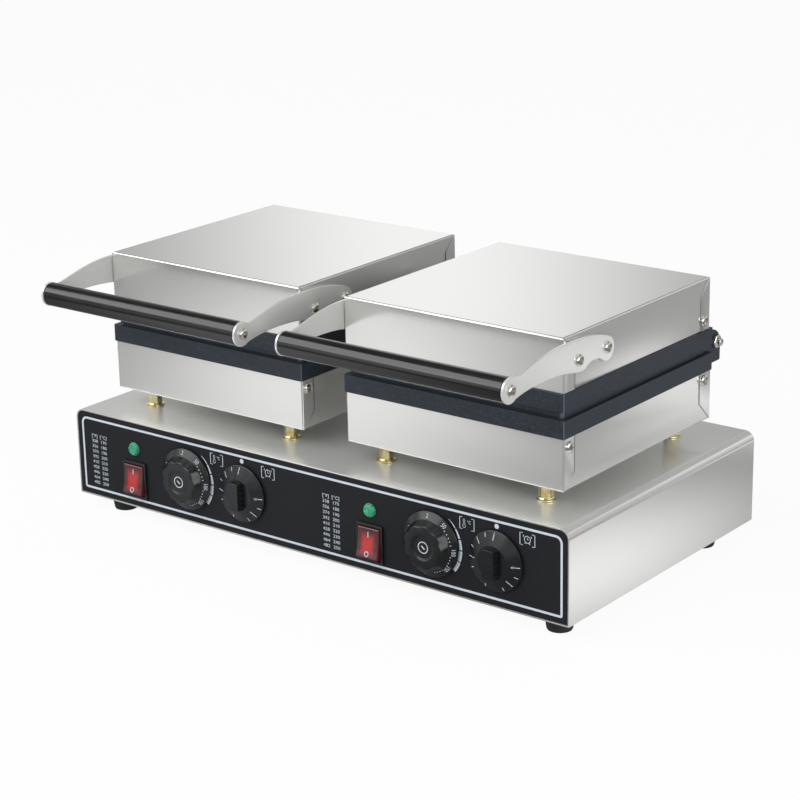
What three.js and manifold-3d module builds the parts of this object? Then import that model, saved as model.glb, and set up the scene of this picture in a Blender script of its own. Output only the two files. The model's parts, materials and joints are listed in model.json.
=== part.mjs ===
// Double waffle maker: two hinged cookers standing on one control cabinet.
// Millimetres, +Z up, front towards -Y. The origin lies on the floor, under the
// middle of the machine's overall box.
import * as THREE from "three";
import { mergeVertices } from "three/addons/utils/BufferGeometryUtils.js";
import Module from "manifold-3d";

const wasm = await Module();
wasm.setup();

// Cookers and the cabinet under them
const cookerWidth = 202;
const cookerDepth = 209;
const cookerGap = 46.3;
const cabinetSideMargin = 24.85;
const cabinetFrontMargin = 28.8;
const cabinetRearMargin = 30.2;
const cabinetHeight = 75.5;
const cabinetEdgeRadius = 8;
const cabinetSheet = 1.2;

// Clearance between seated pieces, and how far a cut runs past a face
const fit = 0.3;
const overrun = 1;

// Control panel
const panelThickness = 2;
const panelRecess = 0.5;

// Rubber feet
const footHeight = 12;
const footTopRadius = 11.5;
const footBottomRadius = 10;
const footEdgeRadius = 1.5;
const footLeftInset = 35.5;
const footRightInset = 20;
const footFrontInset = 18;
const footRearInset = 45;
const footRecessRadius = 4.5;
const footRecessDepth = 7;

// Ventilation slots in the bottom plate and the rear panel
const slotWidth = 5;
const slotLength = 44;
const slotPitch = 12;
const slotsPerGroup = 4;

// Hexagon spacers between cabinet and housing
const postHeight = 15;
const postAcrossFlats = 10.5;
const postFlangeRadius = 7.7;
const postFlangeThickness = 1.3;
const postConeHeight = 3;
const postStudRadius = 3;
const postStudLength = 8;
const postSideInset = 25.5;
const postEndInset = 15.7;
const boltClearance = 0.4;
const wireHoleRadius = 9;

// Folded sheet boxes: lower housing and lid cover
const housingHeight = 41.2;
const coverHeight = 41.9;
const coverRearInset = 3.5;
const foldedSheet = 1;
const bendInsideRadius = 0.6;
const tabThickness = 0.8;
const tabWidth = 13.5;
const tabChamfer = 13.5;

// Cast plates
const plateSideOverhang = 1.7;
const plateFrontOverhang = 1.5;
const plateRearOverhang = 0.5;
const plateCornerRadius = 1.5;
const lowerSlabHeight = 14.2;
const neckHeight = 1.7;
const neckInset = 3.8;
const lipHeight = 4.4;
const lipInset = 2.8;
const lipCornerRadius = 5.5;
const lipWidth = 4.4;
const moatWidth = 7.5;
const moatDepth = 6;
const sealWidth = 3.2;
const lowerCavityDepth = 9;
const upperPlateHeight = 13.9;
const upperCavityDepth = 8;
const cavityCornerRadius = 6;

// Waffle grid: pegs standing in the cavity, in four fields parted by a cross rib
const pegRows = 4;
const pegHeight = 6;
const pegBaseWidth = 13.6;
const pegTopWidth = 10;
const crossRibWidth = 3.4;

// Hinge lugs, rod and nuts
const pinSetback = 17.95;
const pinRadius = 3.2;
const pinClearance = 0.08;
const lugInset = 8.7;
const lugThickness = 10;
const lugGap = 0.6;
const lugFrontClearance = 0.45;
const lugForwardShare = 0.25;
const lugDropShare = 0.16;
const lugCornerCut = 1;
const upperLugWall = 6.3;
const nutWall = 1.8;
const nutThickness = 3.2;
const rodStub = 3.4;
const rodDome = 1.4;

// Lid arms and grip
const armThickness = 1.8;
const armDiscRadius = 9.8;
const armReach = 123.3;
const armRearRadius = 9.6;
const armRearSetback = 53.4;
const armHeight = 21.4;
const gripRadius = 9.5;
const gripScrewRadius = 2.5;
const gripScrewDepth = 14;

// Where the arm's edges leave its disc and its rear lobe, and the control
// points between, as shares of the arm's reach and of its disc's radius
const armDiscHigh = THREE.MathUtils.degToRad(50);
const armDiscLow = THREE.MathUtils.degToRad(-54);
const armRearHigh = THREE.MathUtils.degToRad(56);
const armRearLow = THREE.MathUtils.degToRad(-108);
const armTopShares = [[0.11, 0.56], [0.29, 1.82], [0.6, 1.75], [0.78, 1.73], [0.97, 1.3]];
const armBottomShares = [
  [0.914, -0.29],
  [0.823, -0.29],
  [0.763, -0.85],
  [0.73, -1.02],
  [0.647, -0.8],
  [0.46, -0.24],
  [0.18, -0.33],
];

// Heating elements
const elementTubeRadius = 3.6;
const elementWidth = 128;
const elementLength = 132;
const elementBend = 34;
const elementTail = 14;

// Rocker switches
const switchBezelWidth = 25.5;
const switchBezelHeight = 31.5;
const switchBezelProud = 2.2;
const switchBorder = 2.05;
const switchBodyDepth = 19;
const switchWall = 1.1;
const switchCorner = 1.5;
const bladeWidth = 6.3;
const bladeThickness = 0.8;
const bladeLength = 8;
const rockerSideClearance = 0.4;
const rockerEndClearance = 0.5;
const rockerProud = 6.6;
const rockerDip = 1.1;
const rockerDepth = 4;
const rockerPivotDepth = 1.2;
const rockerTilt = THREE.MathUtils.degToRad(9);

// Pilot lamps
const lampRadius = 5.7;
const lampRim = 0.7;
const lampShoulder = 1.3;
const lampProud = 3;
const lampFlange = 0.9;
const lampBodyDepth = 16;
const lampDomeShare = 0.8;

// Thermostats and their knobs
const thermostatSkirtRadius = 26.3;
const thermostatSkirtRise = 1.9;
const thermostatSkirtWidth = 5.9;
const thermostatTaper = 2.8;
const thermostatLobeDepth = 0.8;
const thermostatLobes = 9;
const thermostatRise = 12.4;
const thermostatDishRadius = 10.2;
const thermostatDishDepth = 1.1;
const thermostatBodyRadius = 17;
const thermostatBodyDepth = 26;

// Timers and their knobs
const timerSkirtRadius = 24;
const timerSkirtRise = 2.3;
const timerHubRadius = 14.2;
const timerBarWidth = 11;
const timerBarDraft = 0.7;
const timerHubDraft = 1.4;
const timerRise = 13;
const timerBodyWidth = 44;
const timerBodyHeight = 44;
const timerBodyDepth = 38;
const timerBodyCorner = 1.5;

// Shafts shared by thermostats and timers
const shaftRadius = 3;
const knobCap = 4.4;
const knobEdgeCut = 1;
const bushRadius = 4.8;
const bushReach = 0.9;
const knobStandoff = 1.2;

// Cable gland and terminal block
const glandRadius = 9;
const glandNutWall = 3;
const glandNutThickness = 5;
const glandDomeWall = 1;
const glandDomeNeck = 2;
const glandDomeLength = 11;
const glandBore = 5;
const glandTail = 9;
const terminalWidth = 52;
const terminalDepth = 22;
const terminalHeight = 18;
const terminalPoles = 4;
const terminalWellRadius = 3;

// Places of the controls, as shares of the room that the controls leave free
const switchSideShare = 0.433;
const thermostatSideShare = 0.162;
const timerSideShare = 0.08;
const switchBelowShare = 0.278;
const lampAboveShare = 0.164;
const dialHeightShare = 0.5;

// Facets of round stretches
const cornerSteps = 2;
const arcSteps = 4;
const pathSteps = 26;
const boltSteps = 6;
const pinSteps = 12;
const roundSteps = 20;
const skirtSteps = 32;
const knobSteps = 36;

// Sizes that follow from those above
const halfTurn = Math.PI;
const quarterTurn = Math.PI / 2;
const hexSides = 6;
const hexCorner = 2 / Math.sqrt(3);
const cabinetWidth = 2 * (cookerWidth + cabinetSideMargin) + cookerGap;
const cabinetDepth = cabinetFrontMargin + cookerDepth + cabinetRearMargin;
const cookerOffset = (cookerWidth + cookerGap) / 2;
const cabinetTop = footHeight + cabinetHeight;
const housingBottom = cabinetTop + postHeight;
const housingTop = housingBottom + housingHeight;
const lowerPlateBottom = housingTop + fit;
const lowerSlabTop = lowerPlateBottom + lowerSlabHeight;
const rimTop = lowerSlabTop + neckHeight + lipHeight;
const upperPlateBottom = rimTop + fit;
const upperPlateTop = upperPlateBottom + upperPlateHeight;
const coverBottom = upperPlateTop + fit;
const plateWidth = cookerWidth + 2 * plateSideOverhang;
const plateDepth = cookerDepth + plateFrontOverhang + plateRearOverhang;
const plateFront = cabinetFrontMargin - plateFrontOverhang;
const plateRear = plateFront + plateDepth;
const pinY = plateRear + pinSetback;
const pinZ = (lowerSlabTop + upperPlateBottom) / 2;
const cavityInset = lipInset + lipWidth + moatWidth + sealWidth;
const cavityWidth = plateWidth - 2 * cavityInset;
const cavityDepthY = plateDepth - 2 * cavityInset;
const coverSide = cookerWidth / 2 + tabThickness;
const armInner = coverSide + fit;
const rearScrewY = cabinetFrontMargin + armRearSetback;
const gripY = rearScrewY - armReach;
const gripZ = coverBottom + armHeight;
const switchWindowWidth = switchBezelWidth - 2 * switchBorder;
const switchWindowHeight = switchBezelHeight - 2 * switchBorder;
const panelBottom = footHeight + cabinetSheet + fit;
const panelInset = cabinetSheet + fit;
const panelFront = panelRecess;
const panelBack = panelRecess + panelThickness;
const halfPanel = cabinetWidth / 2;
const controlSlack = halfPanel - switchBezelWidth - 2 * (thermostatSkirtRadius + timerSkirtRadius);
const switchX = controlSlack * switchSideShare + switchBezelWidth / 2;
const thermostatX = switchX + switchBezelWidth / 2 + controlSlack * thermostatSideShare + thermostatSkirtRadius;
const timerX = thermostatX + thermostatSkirtRadius + controlSlack * timerSideShare + timerSkirtRadius;
const stackSlack = cabinetHeight - switchBezelHeight - 2 * lampRadius;
const switchZ = footHeight + stackSlack * switchBelowShare + switchBezelHeight / 2;
const lampZ = switchZ + switchBezelHeight / 2 + stackSlack * lampAboveShare + lampRadius;
const lampBodyRadius = lampRadius - lampShoulder;
const dialZ = footHeight + cabinetHeight * dialHeightShare;
const glandZ = footHeight + cabinetHeight / 2;
const machineFront = gripY - Math.max(armDiscRadius, gripRadius);
const machineRear = cabinetDepth + glandNutThickness + glandDomeLength;
const middleY = (machineFront + machineRear) / 2;
const sides = [["left", -1], ["right", 1]];

// Turns an outline's own plane, drawn along Y and Z, across the machine
const acrossX = new THREE.Matrix4().makeBasis(
  new THREE.Vector3(0, 1, 0),
  new THREE.Vector3(0, 0, 1),
  new THREE.Vector3(1, 0, 0),
);

// Closed solid of a geometry, with its shared points joined and its faces out
function solidOf(geometry) {
  const bare = geometry.index ? geometry.toNonIndexed() : geometry;
  bare.deleteAttribute("normal");
  bare.deleteAttribute("uv");
  const merged = mergeVertices(bare);
  const corners = Array.from(merged.index.array);
  const triangles = [];
  for (let start = 0; start < corners.length; start += 3) {
    const [a, b, c] = corners.slice(start, start + 3);
    if (a !== b && b !== c && c !== a) {
      triangles.push(a, b, c);
    }
  }
  const build = (order) => new wasm.Manifold(new wasm.Mesh({
    numProp: 3,
    vertProperties: new Float32Array(merged.attributes.position.array),
    triVerts: new Uint32Array(order),
  }));
  const solid = build(triangles);
  return solid.volume() < 0 ? build(triangles.reverse()) : solid;
}

// Geometry of a joined or cut solid, for a mesh
function geometryOf(solid) {
  const mesh = solid.getMesh();
  const geometry = new THREE.BufferGeometry();
  geometry.setAttribute("position", new THREE.BufferAttribute(mesh.vertProperties, 3));
  geometry.setIndex(new THREE.BufferAttribute(mesh.triVerts, 1));
  geometry.computeVertexNormals();
  return geometry;
}

function joined(solids) {
  return solids.reduce((whole, next) => whole.add(next));
}

function block(low, high) {
  const geometry = new THREE.BoxGeometry(high[0] - low[0], high[1] - low[1], high[2] - low[2]);
  geometry.translate((low[0] + high[0]) / 2, (low[1] + high[1]) / 2, (low[2] + high[2]) / 2);
  return solidOf(geometry);
}

// An outline pushed along one axis. Across X it is drawn in Y and Z, along Y
// in X and Z, and up Z in X and Y.
function prism(outline, axis, from, to, steps = cornerSteps) {
  const geometry = new THREE.ExtrudeGeometry(outline, {
    depth: to - from,
    bevelEnabled: false,
    curveSegments: steps,
  });
  if (axis === "x") {
    geometry.applyMatrix4(acrossX);
    geometry.translate(from, 0, 0);
  }
  if (axis === "y") {
    geometry.rotateX(quarterTurn);
    geometry.translate(0, to, 0);
  }
  if (axis === "z") {
    geometry.translate(0, 0, from);
  }
  return solidOf(geometry);
}

// A profile of [radius, height] points turned about an axis, its heights
// running along +X, -Y (out of the panel) or +Z
function turned(profile, axis, steps = roundSteps) {
  const points = profile.map(([radius, height]) => new THREE.Vector2(radius, height));
  const geometry = new THREE.LatheGeometry(points, steps);
  if (axis === "x") {
    geometry.rotateZ(-quarterTurn);
  }
  if (axis === "-y") {
    geometry.rotateX(halfTurn);
  }
  if (axis === "z") {
    geometry.rotateX(quarterTurn);
  }
  return solidOf(geometry);
}

function rod(radius, from, to, axis, steps = roundSteps) {
  return turned([[0, from], [radius, from], [radius, to], [0, to]], axis, steps);
}

function roundedOutline(width, height, radius) {
  const x = width / 2;
  const y = height / 2;
  const outline = new THREE.Shape();
  outline.moveTo(-x + radius, -y);
  outline.lineTo(x - radius, -y);
  outline.absarc(x - radius, -y + radius, radius, -quarterTurn, 0);
  outline.absarc(x - radius, y - radius, radius, 0, quarterTurn);
  outline.absarc(-x + radius, y - radius, radius, quarterTurn, halfTurn);
  outline.absarc(-x + radius, -y + radius, radius, halfTurn, halfTurn + quarterTurn);
  return outline;
}

// Round hole in an outline, its flats touching the circle from outside
function roundHole(x, y, radius, steps) {
  const points = [];
  for (let step = 0; step < steps; step += 1) {
    const angle = (2 * halfTurn * step) / steps;
    const reach = radius / Math.cos(halfTurn / steps);
    points.push(new THREE.Vector2(x + reach * Math.cos(angle), y + reach * Math.sin(angle)));
  }
  return new THREE.Path(points);
}

// Slot with round ends, along X
function slotOutline(centreX, centreY) {
  const radius = slotWidth / 2;
  const reach = slotLength / 2 - radius;
  const outline = new THREE.Shape();
  outline.absarc(centreX + reach, centreY, radius, -quarterTurn, quarterTurn);
  outline.absarc(centreX - reach, centreY, radius, quarterTurn, halfTurn + quarterTurn);
  return outline;
}

// The cabinet's front view: square below, rounded at the top edges
function archOutline(inset, bottom) {
  const x = cabinetWidth / 2 - inset;
  const top = cabinetTop - inset;
  const radius = cabinetEdgeRadius - inset;
  const outline = new THREE.Shape();
  outline.moveTo(-x, bottom);
  outline.lineTo(x, bottom);
  outline.absarc(x - radius, top - radius, radius, 0, quarterTurn);
  outline.absarc(-x + radius, top - radius, radius, quarterTurn, halfTurn);
  return outline;
}

// Places of the spacers about a cooker's middle line
function postPlaces() {
  const x = cookerWidth / 2 - postSideInset;
  const front = cabinetFrontMargin + postEndInset;
  const rear = cabinetFrontMargin + cookerDepth - postEndInset;
  return [["front_left", -x, front], ["front_right", x, front], ["rear_left", -x, rear], ["rear_right", x, rear]];
}

function footPlaces() {
  const left = footLeftInset - cabinetWidth / 2;
  const right = cabinetWidth / 2 - footRightInset;
  const rear = cabinetDepth - footRearInset;
  return [
    ["front_left", left, footFrontInset],
    ["front_right", right, footFrontInset],
    ["rear_left", left, rear],
    ["rear_right", right, rear],
  ];
}

function studHole(x, y, from, to) {
  return rod(postStudRadius + boltClearance, from, to, "z", boltSteps).translate([x, y, 0]);
}

// Wrap-round cover of the cabinet, open below and at both ends
function cabinetShell() {
  const outside = prism(archOutline(0, footHeight), "y", 0, cabinetDepth, arcSteps);
  const inside = prism(archOutline(cabinetSheet, footHeight - overrun), "y",
    -overrun, cabinetDepth + overrun, arcSteps);
  let shell = outside.subtract(inside);
  for (const [, side] of sides) {
    const middle = side * cookerOffset;
    for (const [, x, y] of postPlaces()) {
      shell = shell.subtract(studHole(middle + x, y, cabinetTop - cabinetSheet - overrun, cabinetTop + overrun));
    }
    const wireHole = rod(wireHoleRadius, cabinetTop - cabinetSheet - overrun, cabinetTop + overrun, "z", pinSteps);
    shell = shell.subtract(wireHole.translate([middle, cabinetDepth / 2, 0]));
  }
  return shell;
}

// Bottom plate with two groups of vents and the foot screw holes
function bottomPlate() {
  const x = cabinetWidth / 2 - panelInset;
  const outline = new THREE.Shape();
  outline.moveTo(-x, 0);
  outline.lineTo(x, 0);
  outline.lineTo(x, cabinetDepth);
  outline.lineTo(-x, cabinetDepth);
  for (const [, side] of sides) {
    for (let row = 0; row < slotsPerGroup; row += 1) {
      const y = cabinetDepth / 2 + (row - (slotsPerGroup - 1) / 2) * slotPitch;
      outline.holes.push(slotOutline(side * cookerOffset, y));
    }
  }
  let plate = prism(outline, "z", footHeight, footHeight + cabinetSheet);
  for (const [, footX, footY] of footPlaces()) {
    plate = plate.subtract(studHole(footX, footY, footHeight - overrun, footHeight + cabinetSheet + overrun));
  }
  return plate;
}

// Rear panel with vents and the gland's hole
function rearPanel() {
  const outline = archOutline(panelInset, panelBottom);
  for (const [, side] of sides) {
    for (let row = 0; row < slotsPerGroup; row += 1) {
      const z = glandZ + (row - (slotsPerGroup - 1) / 2) * slotPitch;
      outline.holes.push(slotOutline(side * cookerOffset, z));
    }
  }
  outline.holes.push(roundHole(0, glandZ, glandRadius + fit, pinSteps));
  return prism(outline, "y", cabinetDepth - cabinetSheet, cabinetDepth);
}

function controlPanel() {
  const outline = archOutline(panelInset, panelBottom);
  for (const start of [-halfPanel, 0]) {
    const opening = roundedOutline(switchWindowWidth + 2 * (switchWall + fit),
      switchWindowHeight + 2 * (switchWall + fit), switchCorner);
    const middle = new THREE.Vector2(start + switchX, switchZ);
    outline.holes.push(new THREE.Path(opening.getPoints(1).map((point) => point.add(middle))));
    outline.holes.push(roundHole(start + switchX, lampZ, lampBodyRadius + fit, pinSteps));
    outline.holes.push(roundHole(start + thermostatX, dialZ, bushRadius + fit, pinSteps));
    outline.holes.push(roundHole(start + timerX, dialZ, bushRadius + fit, pinSteps));
  }
  return prism(outline, "y", panelFront, panelBack, arcSteps);
}

function foot() {
  return turned([
    [0, footRecessDepth],
    [footRecessRadius, footRecessDepth],
    [footRecessRadius, 0],
    [footBottomRadius - footEdgeRadius, 0],
    [footBottomRadius, footEdgeRadius],
    [footTopRadius, footHeight - fit],
    [0, footHeight - fit],
  ], "z", pinSteps);
}

// Hexagon spacer with a round flange below and a stud at each end
function post() {
  const bottom = cabinetTop + fit;
  const top = housingBottom - fit;
  const corner = (postAcrossFlats / 2) * hexCorner;
  const coneTop = bottom + postFlangeThickness + postConeHeight;
  const studTop = housingBottom + foldedSheet + postStudLength;
  return joined([
    rod(corner, bottom, top, "z", hexSides),
    turned([
      [0, bottom],
      [postFlangeRadius, bottom],
      [postFlangeRadius, bottom + postFlangeThickness],
      [postAcrossFlats / 2, coneTop],
      [0, coneTop],
    ], "z", 2 * hexSides),
    rod(postStudRadius, cabinetTop - cabinetSheet - postStudLength, studTop, "z", hexSides),
  ]);
}

// Box folded from one sheet, open at the top. At both ends the sheet wraps
// round the corners as tabs, cut off at 45 degrees beside the floor's bend.
function foldedBox(height, depth) {
  const wide = cookerWidth + 2 * tabThickness;
  const bend = bendInsideRadius + foldedSheet;
  const outside = prism(roundedOutline(cookerWidth, depth, bend), "z", 0, height);
  const wrap = prism(roundedOutline(wide, depth, bend), "z", 0, height);
  const inside = prism(roundedOutline(cookerWidth - 2 * foldedSheet, depth - 2 * foldedSheet,
    bendInsideRadius), "z", foldedSheet, height + overrun);
  let box = outside;
  for (const end of [-1, 1]) {
    const corner = (end * depth) / 2;
    const tab = new THREE.Shape();
    tab.moveTo(corner + end * overrun, 0);
    tab.lineTo(corner, 0);
    tab.lineTo(corner - end * tabWidth, tabChamfer);
    tab.lineTo(corner - end * tabWidth, height);
    tab.lineTo(corner + end * overrun, height);
    box = box.add(wrap.intersect(prism(tab, "x", -wide, wide)));
  }
  return box.subtract(inside);
}

function lowerHousing() {
  const middle = cabinetFrontMargin + cookerDepth / 2;
  let housing = foldedBox(housingHeight, cookerDepth).translate([0, middle, housingBottom]);
  for (const [, x, y] of postPlaces()) {
    housing = housing.subtract(studHole(x, y, housingBottom - overrun, housingBottom + foldedSheet + overrun));
  }
  const wireHole = rod(wireHoleRadius, housingBottom - overrun, housingBottom + foldedSheet + overrun, "z", pinSteps);
  return housing.subtract(wireHole.translate([0, cabinetDepth / 2, 0]));
}

// The lid cover is the same folded box, turned over
function lidCover() {
  const depth = cookerDepth - coverRearInset;
  const turnedOver = foldedBox(coverHeight, depth).rotate([0, 180, 0]);
  return turnedOver.translate([0, cabinetFrontMargin + depth / 2, coverBottom + coverHeight]);
}

// One square peg of the waffle grid, wider at its root
function peg(rootZ, tipZ) {
  const geometry = new THREE.CylinderGeometry(pegTopWidth / Math.SQRT2, pegBaseWidth / Math.SQRT2,
    Math.abs(tipZ - rootZ), 4, 1);
  geometry.rotateY(quarterTurn / 2);
  geometry.rotateX(tipZ > rootZ ? quarterTurn : -quarterTurn);
  geometry.translate(0, 0, (rootZ + tipZ) / 2);
  return solidOf(geometry);
}

// All the pegs and the cross rib of one plate. They start under the floor's
// face, so that they join the casting.
function waffleGrid(floorZ, direction) {
  const rootZ = floorZ - direction * overrun;
  const tipZ = floorZ + direction * pegHeight;
  const pieces = [];
  const single = peg(rootZ, tipZ);
  const fieldX = (cavityWidth - crossRibWidth) / 2;
  const fieldY = (cavityDepthY - crossRibWidth) / 2;
  for (const signX of [-1, 1]) {
    for (const signY of [-1, 1]) {
      for (let column = 0; column < pegRows; column += 1) {
        for (let row = 0; row < pegRows; row += 1) {
          const x = signX * (crossRibWidth / 2 + ((column + 1 / 2) * fieldX) / pegRows);
          const y = signY * (crossRibWidth / 2 + ((row + 1 / 2) * fieldY) / pegRows);
          pieces.push(single.translate([x, y, 0]));
        }
      }
    }
  }
  const low = Math.min(rootZ, tipZ);
  const high = Math.max(rootZ, tipZ);
  const half = crossRibWidth / 2;
  const reachX = cavityWidth / 2 + overrun;
  const reachY = cavityDepthY / 2 + overrun;
  pieces.push(block([-half, -reachY, low], [half, reachY, high]));
  pieces.push(block([-reachX, -half, low], [reachX, half, high]));
  return joined(pieces);
}

function plateOutline(inset, radius) {
  return roundedOutline(plateWidth - 2 * inset, plateDepth - 2 * inset, radius);
}

function cavity(from, to) {
  return prism(roundedOutline(cavityWidth, cavityDepthY, cavityCornerRadius), "z", from, to);
}

// Both lugs of one plate, from an outline drawn in Y and Z
function lugPair(outline, outerFace) {
  const boreRadius = (pinRadius + pinClearance) / Math.cos(halfTurn / pinSteps);
  const hole = rod(boreRadius, -overrun - outerFace, outerFace + overrun, "x", pinSteps).translate([0, pinY, pinZ]);
  const right = prism(outline, "x", outerFace - lugThickness, outerFace, arcSteps);
  const left = prism(outline, "x", -outerFace, -outerFace + lugThickness, arcSteps);
  return right.add(left).subtract(hole);
}

function lowerLugs() {
  const arcY = pinY - pinSetback * lugForwardShare;
  const arcZ = pinZ - pinSetback * lugDropShare;
  const radius = arcY - plateRear - lugFrontClearance;
  const outline = new THREE.Shape();
  outline.moveTo(plateRear - overrun, lowerPlateBottom);
  outline.lineTo(arcY + radius - lugCornerCut, lowerPlateBottom);
  outline.lineTo(arcY + radius, lowerPlateBottom + lugCornerCut);
  outline.absarc(arcY, arcZ, radius, 0, halfTurn);
  outline.lineTo(plateRear - overrun, lowerSlabTop);
  return lugPair(outline, plateWidth / 2 - lugInset);
}

function upperLugs() {
  const outline = new THREE.Shape();
  const lowAngle = -quarterTurn - quarterTurn / 3;
  const highAngle = quarterTurn * 0.8;
  outline.moveTo(plateRear - overrun, upperPlateBottom + fit);
  outline.lineTo(plateRear + fit, upperPlateBottom + fit);
  outline.absarc(pinY, pinZ, pinRadius + upperLugWall, lowAngle, highAngle);
  outline.lineTo(plateRear, upperPlateTop - fit);
  outline.lineTo(plateRear - overrun, upperPlateTop - fit);
  return lugPair(outline, plateWidth / 2 - lugInset - lugThickness - lugGap);
}

// Lower casting: slab, neck and lip, a moat inside the lip, then the waffle field
function lowerPlate() {
  const centre = [0, (plateFront + plateRear) / 2, 0];
  const moatOuter = lipInset + lipWidth;
  const moatInner = moatOuter + moatWidth;
  const floorZ = rimTop - lowerCavityDepth;
  const moat = prism(plateOutline(moatOuter, lipCornerRadius), "z", rimTop - moatDepth, rimTop + overrun)
    .subtract(prism(plateOutline(moatInner, lipCornerRadius), "z", rimTop - moatDepth - overrun, rimTop + 2 * overrun));
  const neckBottom = lowerSlabTop - overrun;
  return prism(plateOutline(0, plateCornerRadius), "z", lowerPlateBottom, lowerSlabTop)
    .add(prism(plateOutline(neckInset, lipCornerRadius), "z", neckBottom, rimTop - overrun))
    .add(prism(plateOutline(lipInset, lipCornerRadius), "z", lowerSlabTop + neckHeight, rimTop))
    .subtract(moat)
    .subtract(cavity(floorZ, rimTop + overrun))
    .add(waffleGrid(floorZ, 1))
    .translate(centre)
    .add(lowerLugs());
}

function upperPlate() {
  const centre = [0, (plateFront + plateRear) / 2, 0];
  const floorZ = upperPlateBottom + upperCavityDepth;
  return prism(plateOutline(0, plateCornerRadius), "z", upperPlateBottom, upperPlateTop)
    .subtract(cavity(upperPlateBottom - overrun, floorZ))
    .add(waffleGrid(floorZ, -1))
    .translate(centre)
    .add(upperLugs());
}

// Tubular heater in a horseshoe bend, its two tails towards the rear
function heatingElement(centreZ) {
  const x = elementWidth / 2;
  const middle = (plateFront + plateRear) / 2;
  const front = middle - elementLength / 2;
  const rear = middle + elementLength / 2 + elementTail;
  const corners = [
    [-x, rear],
    [-x, front + elementBend],
    [-x, front],
    [-x + elementBend, front],
    [x - elementBend, front],
    [x, front],
    [x, front + elementBend],
    [x, rear],
  ].map(([cornerX, cornerY]) => new THREE.Vector3(cornerX, cornerY, centreZ));
  const path = new THREE.CurvePath();
  path.add(new THREE.LineCurve3(corners[0], corners[1]));
  path.add(new THREE.QuadraticBezierCurve3(corners[1], corners[2], corners[3]));
  path.add(new THREE.LineCurve3(corners[3], corners[4]));
  path.add(new THREE.QuadraticBezierCurve3(corners[4], corners[5], corners[6]));
  path.add(new THREE.LineCurve3(corners[6], corners[7]));
  const section = new THREE.Shape();
  section.absarc(0, 0, elementTubeRadius, 0, 2 * halfTurn);
  return solidOf(new THREE.ExtrudeGeometry(section, {
    steps: pathSteps,
    curveSegments: hexSides / 2,
    extrudePath: path,
  }));
}

// Rod through all four lugs, with domed ends outside its nuts
function hingeRod() {
  const end = plateWidth / 2 - lugInset + fit + nutThickness + rodStub;
  return turned([
    [0, -end],
    [pinRadius - rodDome, -end],
    [pinRadius, -end + rodDome],
    [pinRadius, end - rodDome],
    [pinRadius - rodDome, end],
    [0, end],
  ], "x", pinSteps).translate([0, pinY, pinZ]);
}

function hingeNut(side) {
  const inner = plateWidth / 2 - lugInset + fit;
  const corner = (pinRadius + nutWall) * hexCorner;
  const body = rod(corner, inner, inner + nutThickness, "x", hexSides);
  const bore = rod(pinRadius + fit, inner - overrun, inner + nutThickness + overrun, "x", pinSteps);
  const nut = body.subtract(bore);
  const placed = side > 0 ? nut : nut.rotate([0, 0, 180]);
  return placed.translate([0, pinY, pinZ]);
}

// Side outline of a lid arm, from the grip's disc to the rear lobe. Each point
// is a share of the reach along it and a share of the disc's radius up from it.
function armOutline() {
  const at = ([along, up]) => [armReach * along, armDiscRadius * up];
  const rearPoint = (angle) => [armReach + armRearRadius * Math.cos(angle), armRearRadius * Math.sin(angle)];
  const discPoint = (angle) => [armDiscRadius * Math.cos(angle), armDiscRadius * Math.sin(angle)];
  const [neck, shoulder, crest, brow, slope] = armTopShares;
  const [notchRear, notchFront, lobeRear, lobe, lobeFront, hollowRear, hollowFront] = armBottomShares;
  const outline = new THREE.Shape();
  outline.absarc(0, 0, armDiscRadius, armDiscLow, armDiscHigh, true);
  outline.bezierCurveTo(...at(neck), ...at(shoulder), ...at(crest));
  outline.bezierCurveTo(...at(brow), ...at(slope), ...rearPoint(armRearHigh));
  outline.absarc(armReach, 0, armRearRadius, armRearHigh, armRearLow, true);
  outline.bezierCurveTo(...at(notchRear), ...at(notchFront), ...at(lobeRear));
  outline.quadraticCurveTo(...at(lobe), ...at(lobeFront));
  outline.bezierCurveTo(...at(hollowRear), ...at(hollowFront), ...discPoint(armDiscLow));
  return outline;
}

function arm(side) {
  const outer = armInner + armThickness;
  const from = side > 0 ? armInner : -outer;
  return prism(armOutline(), "x", from, from + armThickness, 2 * arcSteps).translate([0, gripY, gripZ]);
}

// Round bar between the arms, with a blind screw hole in each end
function grip() {
  const end = armInner - fit;
  const holeEnd = end - gripScrewDepth;
  return turned([
    [0, -holeEnd],
    [gripScrewRadius, -holeEnd],
    [gripScrewRadius, -end],
    [gripRadius, -end],
    [gripRadius, end],
    [gripScrewRadius, end],
    [gripScrewRadius, holeEnd],
    [0, holeEnd],
  ], "x").translate([0, gripY, gripZ]);
}

// Switch body: bezel on the panel, hollow box behind it, three blades
function switchBody() {
  const bezelFront = panelFront - switchBezelProud;
  const boxBack = panelBack + switchBodyDepth;
  const boxWidth = switchWindowWidth + 2 * switchWall;
  const boxHeight = switchWindowHeight + 2 * switchWall;
  const bezel = prism(roundedOutline(switchBezelWidth, switchBezelHeight, switchCorner), "y", bezelFront, panelFront);
  const box = prism(roundedOutline(boxWidth, boxHeight, switchCorner), "y", panelFront - overrun, boxBack);
  const window = prism(roundedOutline(switchWindowWidth, switchWindowHeight, switchCorner), "y",
    bezelFront - overrun, boxBack - switchWall);
  const blades = [];
  for (const level of [-1, 0, 1]) {
    const z = (level * switchWindowHeight) / 3;
    blades.push(block([-bladeWidth / 2, boxBack - switchWall, z - bladeThickness / 2],
      [bladeWidth / 2, boxBack + bladeLength, z + bladeThickness / 2]));
  }
  return joined([bezel.add(box).subtract(window), ...blades]);
}

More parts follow.
